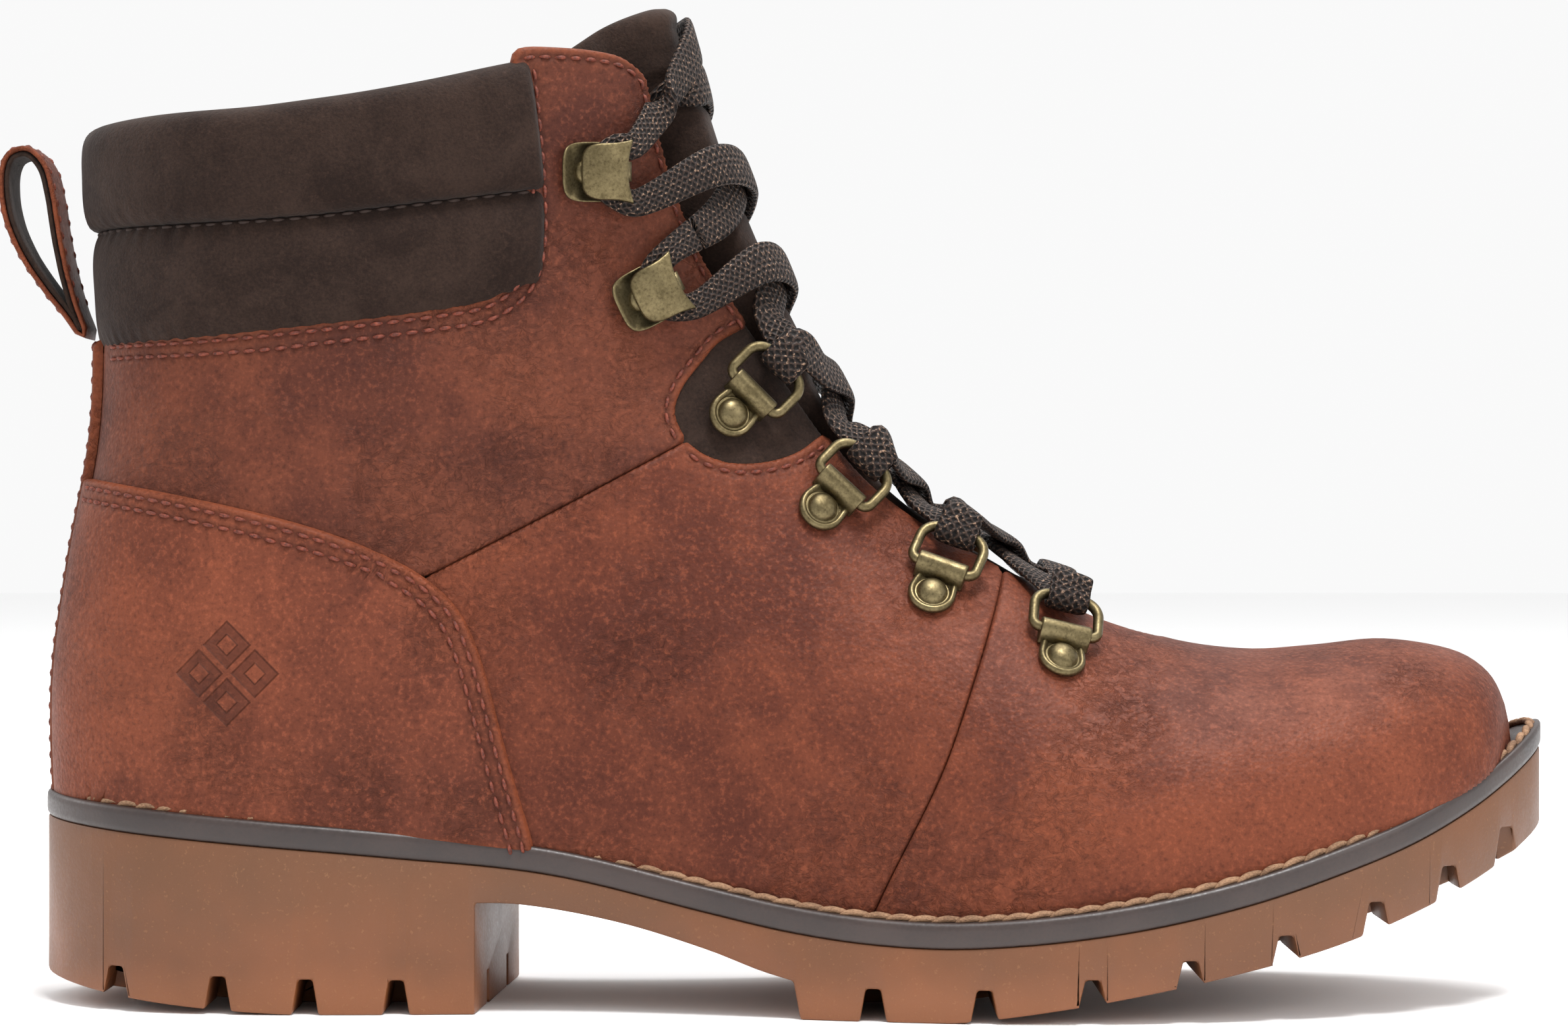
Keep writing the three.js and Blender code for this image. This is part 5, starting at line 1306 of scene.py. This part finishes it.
ring_sections = [locate([(at[0] + aim[0] * 2.4, at[1] + aim[1] * 2.4)], 1)[0, 0] for at, aim in CLIPS]
hook_sections = [locate([(at[0] + 6, at[1] + 1)], 1)[0, 0] for at, aim in HOOKS]
CROSSING_SHIFT = 0.12  # each crossing lies this share of a section above the middle of its two rings
LOW_TUCK = [  # (section, height, distance across, distance past the lace edge) of the end that is tucked in first
    (21.0, 1.5, -9, 0), (21.5, 1.6, 0, 0), (21.45, 1.3, 8, 0), (21.35, -2.8, 0, -5.4), (21.0, -6.8, 0, -4.0),
    (20.2, -8.1, 0, 0.4), (19.5, -8.1, 0, 1.4),
]
HIGH_TUCK = [
    (22.2, 1.6, -9, 0), (23.0, 1.6, 0, 0), (23.1, 1.4, 9.5, 0), (23.0, -2.6, 0, -3.4), (22.6, -6.8, 0, -1.6),
    (21.8, -8.1, 0, 0.8), (20.9, -8.1, 0, 1.8),
]


def lace_half(side, low):
    """Half of the lace, from its first ring to its tucked end. Every crossing turns it over."""
    way, flip = [], 1

    def cross(start, end, lift):
        nonlocal side, flip
        flip = -flip
        near = float(open_half(start + (end - start) * 0.5 + CROSSING_SHIFT)) * 0.72
        for share, height, across in (
            (0.3, 1.5 + (lift - 1.5) * 0.4, near), (0.5, lift, 0), (0.7, 5 + (lift - 5) * 0.3, -near),
        ):
            way.append(over_ridge(start + (end - start) * share + CROSSING_SHIFT, height, flip, side * across))
        side = -side

    stops = ring_sections + hook_sections
    for i in range(4):
        way.extend(round_ring(clip_seats[side][i], flip, -side))
        cross(stops[i], stops[i + 1], 1.7 if low == (i % 2 == 0) else 4.1)
    for i in range(2):
        way.extend(round_hook(hook_seats[side][i], flip, side))
        if i == 0:
            cross(hook_sections[0], hook_sections[1], 1.8 if low else 4.2)
    flip = -flip
    for t, lift, y, past in LOW_TUCK if low else HIGH_TUCK:
        within = lift < -2
        across = float(open_half(t)) + past if within else y
        way.append(over_ridge(t, lift, flip, -side * across, TUCKED_WIDTH if within else LACE_WIDTH))
    return way


outer_end, inner_end = lace_half(-1, True), lace_half(1, False)
lace_spots = np.array(outer_end[::-1] + [over_ridge(ring_sections[0] - 0.1, 1.6, 1)] + inner_end)
gaps_between = np.sqrt(np.maximum(np.linalg.norm(np.diff(lace_spots[:, :3], axis=0), axis=1), 0.05))
knots = np.concatenate([[0], np.cumsum(gaps_between)])
fine = np.linspace(0, knots[-1], 6000)
dense_way = np.column_stack([through(np.column_stack([knots, column]))(fine) for column in lace_spots.T])
lace_run = travelled(dense_way[:, :3])
stations_along = np.linspace(0, lace_run[-1], int(lace_run[-1] / LACE_STEP))
way = np.column_stack([np.interp(stations_along, lace_run, column) for column in dense_way.T])
run = unit(np.gradient(way[:, :3], axis=0))
face = way[:, 3:6] / np.maximum(np.linalg.norm(way[:, 3:6], axis=1)[:, None], 1e-6)
across = unit(np.cross(face, run))
for _ in range(3):
    across[1:-1] = (across[:-2] + across[1:-1] * 2 + across[2:]) / 4
across = unit(across - run * (across * run).sum(1)[:, None])
up = np.cross(run, across)


def bowed(value, power):
    """A sine or cosine, bent so that a circle becomes a rounded box."""
    return np.sign(value) * np.abs(value) ** power


c, s = (f(2 * math.pi * np.arange(LACE_AROUND) / LACE_AROUND) for f in (np.cos, np.sin))
section = 0.5 * np.column_stack([bowed(c, 0.72), bowed(s, 0.8) * (0.86 + 0.14 * c**2)])
body_points = (
    way[:, None, :3] + across[:, None, :] * (section[:, 0] * way[:, 6][:, None])[..., None]
    + up[:, None, :] * (section[:, 1] * way[:, 7][:, None])[..., None]
).reshape(-1, 3)
lace = outward(mesh_piece(
    "braided_lace", body_points, grid_faces(len(way), LACE_AROUND, closed=True, ends="capped")))

# The braid's own map: how far along the lace and how far round it, in millimetres.
braid_map = lace.data.uv_layers.new(name="braid")
corner_vertex = np.zeros(len(lace.data.loops), int)
lace.data.loops.foreach_get("vertex_index", corner_vertex)
round_run = travelled(np.vstack([section, section[:1]]) * (LACE_WIDTH, LACE_THICK))
place_round = corner_vertex % LACE_AROUND
for polygon in lace.data.polygons:
    corners = place_round[polygon.loop_start : polygon.loop_start + polygon.loop_total]
    if corners.min() == 0 and corners.max() == LACE_AROUND - 1:
        corners[corners == 0] = LACE_AROUND  # the last faces of a ring end where the first ones start
uv = np.column_stack([stations_along[corner_vertex // LACE_AROUND], round_run[place_round]])
braid_map.data.foreach_set("uv", uv.ravel())
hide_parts("lace")

braid = Finish("lace_braid", Specular_IOR_Level=0.22)
braid_uv = braid.node("ShaderNodeUVMap", {"uv_map": "braid"}).socket
along_uv, across_uv = braid.axis(0, braid_uv), braid.axis(1, braid_uv)
fray = braid.noise(1.6, 3, 0.7)
leaning = braid.math("SINE", (along_uv + across_uv * 0.8) * 4.2 + fray * 1.5)
backward = braid.math("SINE", (along_uv - across_uv * 0.8) * 4.2 + fray * 1.5)
strands = braid.math("MAXIMUM", leaning, backward) * 0.5 + 0.5
ribs = braid.math("SINE", across_uv * 5.2) * 0.5 + 0.5
height = strands * 0.7 + ribs * 0.3
glint = braid.noise(0.5, 2, 0.6)
# Painted shade: the braid is painted darker in the valleys between its strands. Painted highlights: pale glints on
# the strand tops.
tone = braid.mix(braid.between(height, 0.45, 0.95), srgb(12, 8, 7), srgb(50, 36, 29))
tone = braid.mix(braid.between(glint, 0.56, 0.68) * braid.between(height, 0.5, 0.9), tone, srgb(152, 122, 100))
braid.set("Base Color", tone)
braid.set("Roughness", braid.between(height, 0.3, 0.9, 0.85, 0.5))
braid.relief(height + glint * 0.25, 0.5)
braid.coat(lace)

brass = Finish("antique_brass", Metallic=1.0)
tarnish = brass.noise(3.5, 5, 0.7)
worn = brass.noise(0.5, 3, 0.6)
plating = brass.mix(brass.between(tarnish * 0.6 + worn * 0.4, 0.36, 0.64), srgb(86, 76, 53), srgb(116, 104, 76))
plating = brass.mix(brass.between(worn, 0.42, 0.32) * 0.35, plating, srgb(66, 56, 42))
brass.set("Base Color", plating)
brass.set("Roughness", brass.between(tarnish, 0.3, 0.7, 0.5, 0.38))
brass.relief(worn * 0.6 + tarnish * 0.4, 0.02)
AGLET_PROFILE = [  # (distance out from the lace's end, radius)
    (-0.6, 0.9), (0.0, 1.15), (0.4, 1.2), (13.8, 1.2), (14.6, 1.1), (15.2, 0.7), (15.3, 0.05),
]
aglets = []
for number, end in (("1", outer_end), ("2", inner_end)):
    start = end[-1][:3]
    way_out = unit(start - end[-2][:3])
    side_way = unit(np.cross(way_out, (0, 0, 1)))
    third = np.cross(way_out, side_way)
    turns = np.linspace(0, 2 * math.pi, 16, endpoint=False)[:, None]
    circle = np.cos(turns) * side_way + np.sin(turns) * third
    rings = [start + way_out * far_out + radius * circle for far_out, radius in AGLET_PROFILE]
    aglet = outward(mesh_piece(f"lace_tip_{number}", np.vstack(rings), grid_faces(len(rings), 16, closed=True)))
    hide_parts(f"aglet_{number}")
    aglets.append(aglet)
brass.coat(*aglets)

# ---- Tongue ----------------------------------------------------------------------------------------------------
# Foam-padded nubuck, sewn in at the throat. It is proud between the lace edges, swells between the crossings of
# the lace, and runs as thin wings under the edges. Its top stands above the collar.
tongue_edge = through([(6.4, 9), (8, 16), (11, 19), (15, 22), (20, 26), (24.6, 28)])
wing_depth = through([(6.4, 6.3), (16, 6.3), (17.2, 9.8), (24.6, 9.8)])
TONGUE_END, TIP_START = 24.05, 23.2
PAD_HEIGHT, PAD_DEPTH, BACK_DEPTH = 1.9, 0.9, 6.8
stops = ring_sections + hook_sections
bands = [(low + high) / 2 + CROSSING_SHIFT for low, high in zip(stops, stops[1:])]
bands += [21.5, 23.0, ring_sections[0] - 0.1]  # the tucked ends, and the bar across the throat


def swell(t):
    """How far the pad stands up between two crossings of the lace."""
    near = np.min(np.abs(np.asarray(t)[..., None] - np.array(bands)), axis=-1)
    return ease((near - 0.25) / 0.7)


across_share = np.concatenate([np.linspace(-1, -0.55, 12), np.linspace(-0.52, 0.52, 31), np.linspace(0.55, 1, 12)])
tongue_rows = []
for t in np.concatenate([np.linspace(6.6, TIP_START, 150), np.linspace(TIP_START + 0.08, TONGUE_END, 14)]):
    proud, soft = ease(t - 7.5), ease((t - 17) / 2.5)
    open_at = float(open_half(max(t, 7.8)))
    wing, edge = float(wing_depth(t)), float(tongue_edge(t))
    y = across_share * edge
    far = np.abs(y)
    rise = 1 - ease((far - open_at * (0.5 - 0.16 * soft)) / (open_at * (0.46 + 0.2 * soft)))
    puff = PAD_HEIGHT * swell(t) * (1 - (far / open_at).clip(0, 1) ** 2) * proud
    front = wing + (PAD_DEPTH - puff * (t > 8.6) - wing) * rise * proud
    rear = np.interp(far, [0, open_at * 0.66, edge],
                     [wing + 1.2 + (BACK_DEPTH - wing - 1.2) * soft, wing + 1.6, wing + 2.4])
    ending = math.sqrt(max(0.0, 1 - max(0.0, (t - TIP_START) / (TONGUE_END - TIP_START)) ** 2))
    middle = (front + rear) / 2
    here = t - 1.35 * np.abs(across_share) ** 2.2 * ease((t - 20.5) / 3.2)
    turn = turn_at(here, np.maximum(far, 0.02), np.where(y < 0, -1.0, 1.0))
    front_points = on_last(here, turn, -middle - (front - middle) * ending)
    rear_points = on_last(here, turn, -middle - (rear - middle) * ending)
    tongue_rows.append(np.vstack([front_points, rear_points[::-1]]))
half = len(across_share)
columns = 2 * half
tongue_faces = grid_faces(len(tongue_rows), columns, closed=True)
for first, way in ((0, -1), ((len(tongue_rows) - 1) * columns, 1)):
    for q in range(half - 1):
        quad = (q, q + 1, columns - 2 - q, columns - 1 - q)
        tongue_faces.append(tuple(first + corner for corner in quad)[::way])
tongue = outward(mesh_piece("padded_tongue", np.vstack(tongue_rows), tongue_faces))
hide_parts("tongue")
dark_nubuck.coat(tongue)

# ---- Pull loop -------------------------------------------------------------------------------------------------
# A strap of two layers sewn back to back, folded over and caught under the back stay: leather outside, nubuck
# inside. It hangs on its own body.
LOOP_WIDTH, LAYER, STRAP_AROUND = 13.0, 1.15, 20
loop_middle = np.array([
    (-132.8, 125.2), (-134.6, 130.4), (-136.4, 137), (-137.8, 144), (-138.9, 151), (-140.4, 156.5), (-143.3, 159.4),
    (-146.4, 158.4), (-147.5, 154), (-146.6, 147), (-143.8, 140.3), (-139.6, 134), (-135.6, 129),
]) + (0.6, 0)
loop_line = rounded(loop_middle, step=0.8, closed=True)
loop_run = heading(loop_line)
loop_out = np.column_stack([-loop_run[:, 1], loop_run[:, 0]])
if ((loop_line - loop_line.mean(axis=0)) * loop_out).sum() < 0:
    loop_out = -loop_out


def strap(name, inner, outer, half, softness):
    """A closed strap between two depths, with rounded edges and a fine waver in its cut."""
    middle, thick = (inner + outer) / 2, (outer - inner) / 2
    turns = 2 * math.pi * np.arange(STRAP_AROUND) / STRAP_AROUND
    y, depth = half * bowed(np.cos(turns), 0.22), middle + thick * bowed(np.sin(turns), 0.6)
    points = []
    for i, (place, out) in enumerate(zip(loop_line, loop_out)):
        waver = softness * (math.sin(i * 0.9) + 0.6 * math.sin(i * 2.3 + 1))
        points.append(np.column_stack([place[0] + out[0] * depth, y * (1 + waver / half), place[1] + out[1] * depth]))
    points = np.vstack(points)
    piece = outward(mesh_piece(
        name, points, grid_faces(len(loop_line), STRAP_AROUND, closed=True, ends="joined"), body="loop"))
    attribute(piece, "rim", np.clip((np.abs(points[:, 1]) - half * 0.9) / (half * 0.1), 0, 1))
    return piece


loop_leather = strap("pull_loop_leather", 0.05, LAYER, LOOP_WIDTH / 2, 0.09)
loop_lining = strap("pull_loop_backing", -LAYER * 0.9, 0.05, LOOP_WIDTH / 2 - 0.35, 0.07)
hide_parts("pull_loop")
upper_leather.coat(loop_leather)
dark_nubuck.coat(loop_lining)
top = np.vstack([loop_line, loop_line[:1]]) + np.vstack([loop_out, loop_out[:1]]) * (LAYER - 0.14)
ups = np.column_stack([loop_out[:, 0], np.zeros(len(loop_out)), loop_out[:, 1]])
ups = np.vstack([ups, ups[:1]])
loop_lines = []
for y in (-LOOP_WIDTH / 2 + 1.6, LOOP_WIDTH / 2 - 1.6):
    places = np.column_stack([top[:, 0], np.full(len(top), y), top[:, 1]])
    loop_lines.append((places[6:-6], ups[6:-6]))
loop_stitches = sew("pull_loop_stitches", loop_lines, pitch=3.1, length=2.3, radius=0.34, body="loop")
thread.coat(loop_stitches)

# ---- Ring clips, lace rings and rivets ------------------------------------------------------------------------
# Pressed sheet brass. Each clip is a cup with a rolled rim, held by a domed rivet, and its strap is rolled round
# the straight bar of a D-shaped wire ring, which swings in it.
PLATE_LIFT, SHEET, PLATE_POINTS = 0.45, 1.0, 72


def in_seat(name, where, points, faces, body="boot"):
    return outward(mesh_piece(name, from_seat(where, points), faces, body=body))


def turned_shape(profile, turns=36, y=0.0):
    """Points and faces of a profile of (radius, height) turned about a seat's z, or a line beside it."""
    at = np.linspace(0, 2 * math.pi, turns, endpoint=False)
    points = [(r * math.cos(q), y + r * math.sin(q), z) for r, z in profile for q in at]
    return points, grid_faces(len(profile), turns, closed=True)


def merged(*shapes):
    points, faces = [], []
    for more, their in shapes:
        faces += [tuple(len(points) + i for i in f) for f in their]
        points += [tuple(p) for p in more]
    return points, faces


def ring_tube(path, radius, around):
    """Points and faces of a round wire along a closed path."""
    turns = np.linspace(0, 2 * math.pi, around, endpoint=False)[:, None]
    points = []
    for middle, way in zip(path, heading(path)):
        first = unit(np.cross(way, (0.0, 0.0, 1.0)))
        points.append(middle + radius * (first * np.cos(turns) + np.cross(way, first) * np.sin(turns)))
    return np.vstack(points), grid_faces(len(path), around, closed=True, ends="joined")


# The clip's plate, from the round cup to the strap: rings of an outline that rises to a rolled rim.
CUP_RADIUS = 4.35
RIM_STEPS = (  # (share of the way in, height) from the cut edge over the rolled rim to the flat
    (0.0, 0.0), (-0.02, 0.3), (-0.02, 0.75), (0.05, 1.15), (0.13, 1.28), (0.21, 1.12), (0.27, 0.8), (0.33, 0.62),
    (0.6, 0.55), (0.98, 0.55),
)
SLEEVE = [  # the strap's section, (y, z), rolled round the ring's bar
    (2.9, 0.3), (3.0, 1.2), (3.15, 2.3), (3.6, 3.4), (4.3, 4.15), (5.1, 4.45), (5.9, 4.3), (6.7, 3.75), (7.15, 2.9),
    (7.25, 2.0), (6.9, 1.0), (6.2, 0.45),
]
SLEEVE_ENDS = (  # (x, size): the sleeve's ends are rounded over
    (4.7, 0.86), (4.68, 0.93), (4.5, 0.99), (4.2, 1.0), (-4.2, 1.0), (-4.5, 0.99), (-4.68, 0.93), (-4.7, 0.86),
)
cup_turns = np.linspace(math.radians(172), math.radians(368), 40)
plate_outline = [(CUP_RADIUS * math.cos(q), CUP_RADIUS * math.sin(q)) for q in cup_turns]
plate_edge = [(4.2, 1.6), (3.95, 3.2), (3.8, 5.0), (3.8, 6.0)]
plate_outline += plate_edge + [(-x, y) for x, y in plate_edge[::-1]]
plate_outline = evenly(plate_outline, count=PLATE_POINTS, closed=True)
plate_points = [
    (x * (1 - shrink), y * (1 - shrink) + 0.2 * shrink, PLATE_LIFT + z)
    for shrink, z in RIM_STEPS for x, y in plate_outline
]
plate = plate_points, grid_faces(len(RIM_STEPS), PLATE_POINTS, closed=True, ends="capped")
section = rounded(SLEEVE, step=0.35, closed=True)
middle = section.mean(axis=0)
sleeve_points = [(x, *(middle + (p - middle) * size)) for x, size in SLEEVE_ENDS for p in section]
sleeve = sleeve_points, grid_faces(len(SLEEVE_ENDS), len(section), closed=True, ends="capped")
clip_shape = merged(plate, sleeve)
half = INSIDE / 2 + WIRE
corner, foot = 3.4, 1.6


def arc(cx, cy, radius, start, end):
    return [(cx + radius * math.cos(q), cy + radius * math.sin(q), 0) for q in np.linspace(start, end, 10)]


quarter_turn = math.pi / 2
ring_path = evenly(
    arc(half - foot, foot, foot, -quarter_turn, 0) + arc(half - corner, REACH - corner, corner, 0, quarter_turn)
    + arc(corner - half, REACH - corner, corner, quarter_turn, math.pi)
    + arc(foot - half, foot, foot, math.pi, 3 * quarter_turn), count=110, closed=True)
lifted = np.column_stack([
    ring_path[:, 0], BAR_Y + ring_path[:, 1] * math.cos(LIFT), BAR_Z + ring_path[:, 1] * math.sin(LIFT)])
ring_shape = ring_tube(lifted, WIRE + 0.12, 16)
dome_base = PLATE_LIFT + SHEET - 0.35
dome = turned_shape([(radius, dome_base + z) for radius, z in (
    (3.35, -0.2), (3.35, 0.12), (3.1, 0.3), (2.95, 0.2), (2.85, 0.3), (2.72, 0.8), (2.4, 1.3), (1.8, 1.72),
    (1.0, 1.98), (0.3, 2.06), (0.02, 2.07),
)])
hardware = []
for word, side in sides:
    for i in range(4):
        where = clip_seats[side][i]
        clip = in_seat(f"clip_{word}_{i + 1}", where, *clip_shape)
        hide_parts(f"ring_clip_{word}_{i + 1}")
        wire_ring = in_seat(f"wire_ring_{word}_{i + 1}", where, *ring_shape, body=f"ring_{word}_{i + 1}")
        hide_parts(f"lace_ring_{word}_{i + 1}")
        rivet = in_seat(f"domed_rivet_{word}_{i + 1}", where, *dome)
        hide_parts(f"clip_rivet_{word}_{i + 1}")
        hardware += [clip, wire_ring, rivet]

# ---- Speed hooks -----------------------------------------------------------------------------------------------
# One strip of brass each, folded back over itself: a base plate with a turned-up rim riveted to the leather, a
# narrow neck, and a wide cap that curves down at its closed side and is hollowed at its open edge.


BENT_POINTS = 96


def plate_shape(outline, height_of, thick):
    """A bent plate with rounded edges: an outline filled by shrinking rings, at the heights of a function."""
    outline = evenly(outline, count=BENT_POINTS, closed=True)
    middle = outline.mean(axis=0)
    sizes = (0.02, 0.3, 0.55, 0.75, 0.88, 0.95, 0.985, 1.0)
    rises = (0.5, 0.5, 0.5, 0.5, 0.5, 0.46, 0.36, 0.12)
    rings = [(size, thick * rise) for size, rise in zip(sizes, rises)]
    points = []
    for size, off in rings + [(size, -off) for size, off in rings[::-1]]:
        points += [(x, y, height_of(x, y) + off) for x, y in middle + (outline - middle) * size]
    return points, grid_faces(2 * len(rings), BENT_POINTS, closed=True, ends="capped")


def base_height(x, y):
    edge = max(abs(x) / 5.4, abs(y + 1.5) / 6.2)
    return PLATE_LIFT + 0.4 + 0.75 * max(0.0, edge - 0.72) / 0.28


def cap_height(x, y):
    return 5.55 - 0.055 * (y - 1.5) ** 2 * (1 if y < 1.5 else 0.45) - 0.02 * x * x


turns = np.linspace(math.pi, 2 * math.pi, 40)
cap_outline = list(zip(5.2 * bowed(np.cos(turns), 0.55), -0.2 + 4.8 * bowed(np.sin(turns), 0.62)))
cap_outline += [(5.3, 1.6), (5.6, 3.4), (5.9, 4.7), (5.5, 4.6)]
cap_outline += [(x, 4.6 - 1.35 * (1 - (x / 5.5) ** 2)) for x in np.linspace(5, -5, 15)]
cap_outline += [(-5.5, 4.6), (-5.9, 4.7), (-5.6, 3.4), (-5.3, 1.6)]
hook_cap = plate_shape(cap_outline, cap_height, 0.95)
turns = np.linspace(0, 2 * math.pi, BENT_POINTS, endpoint=False)
base_outline = np.column_stack([5.5 * bowed(np.cos(turns), 0.55), -1.9 + 6.3 * bowed(np.sin(turns), 0.55)])
hook_base = plate_shape(base_outline, base_height, 0.8)
neck_points = []
for k in range(9):
    turn = math.pi * k / 8
    y, z = 2.9 + 1.5 * math.sin(turn), 3.15 - 2.1 * math.cos(turn)
    for x, d in ((-1.8, -0.45), (1.8, -0.45), (1.8, 0.45), (-1.8, 0.45)):
        neck_points.append((x, y + d * math.sin(turn), z - d * math.cos(turn)))
hook_neck = (neck_points, grid_faces(9, 4, closed=True) + [(0, 1, 2, 3), (35, 34, 33, 32)])
hook_shape = merged(hook_cap, hook_base, hook_neck)
low_dome = turned_shape([(2.2, 1.1), (2.2, 1.6), (1.7, 2.05), (0.9, 2.2), (0.02, 2.25)], 24, y=-3.2)
for word, side in sides:
    for i in range(2):
        where = hook_seats[side][i]
        hook = in_seat(f"speed_hook_{word}_{i + 1}", where, *hook_shape)
        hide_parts(f"hook_{word}_{i + 1}")
        hook_rivet = in_seat(f"low_rivet_{word}_{i + 1}", where, *low_dome)
        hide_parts(f"hook_rivet_{word}_{i + 1}")
        hardware += [hook, hook_rivet]
brass.coat(*hardware)

# ---- Hidden layers ---------------------------------------------------------------------------------------------
# The insole board, shank, toe puff, heel counter and insulation are closed in between leather and lining. They
# keep their plain solids and get a finish of their own.
board = grained("fibre_board", (1.8, 4, 0.7), srgb(74, 56, 42), srgb(106, 84, 64), (0.95, 0.8), 0.2, ramp=False,
                Specular_IOR_Level=0.2)
board.repaint("insole_board", "toe_puff", "heel_counter")
wool = grained("insulating_felt", (1.2, 4, 0.75), srgb(48, 38, 32), srgb(74, 60, 51), (1.0, 0.85), 0.5, ramp=False,
               Specular_IOR_Level=0.1)
wool.repaint("insulation_lateral", "insulation_medial")
steel = grained("shank_steel", (2.0, 4, 0.6), srgb(120, 124, 128), srgb(168, 172, 176), (0.3, 0.5), 0.03, ramp=False,
                stretch=(0.1, 1, 1), Metallic=1.0)
steel.repaint("shank")

# ---- Floor and light -------------------------------------------------------------------------------------------
# A white sweep of floor under an even sky, with a key lamp overhead and weaker ones round it.
bpy.ops.mesh.primitive_plane_add(size=8)
floor = bpy.context.object
floor.name = "studio_floor"
Finish("studio_white", Base_Color=(0.93, 0.93, 0.93, 1), Roughness=0.9, Specular_IOR_Level=0.1).coat(floor)


LIT_AT = Vector((0, 0, 0.08))


def lamp(name, place, power, size):
    light = bpy.data.lights.new(name, "AREA")
    light.energy, light.size = power, size
    made = bpy.data.objects.new(name, light)
    made.location = place
    made.rotation_euler = (LIT_AT - Vector(place)).to_track_quat("-Z", "Y").to_euler()
    bpy.context.collection.objects.link(made)


lamp("key", (0.2, -0.5, 1.6), 26, 0.4)
lamp("top", (0.3, 0.35, 1.5), 12, 0.7)
lamp("rim", (-1.3, 0.5, 0.8), 4, 0.6)
lamp("front", (1.2, -1.0, 0.9), 5, 0.6)
world = bpy.data.worlds.new("studio")
world.use_nodes = True
sky = world.node_tree.nodes["Background"].inputs
sky["Color"].default_value, sky["Strength"].default_value = (1, 1, 1, 1), 0.95
bpy.context.scene.world = world
bpy.context.scene.view_settings.view_transform = "Standard"
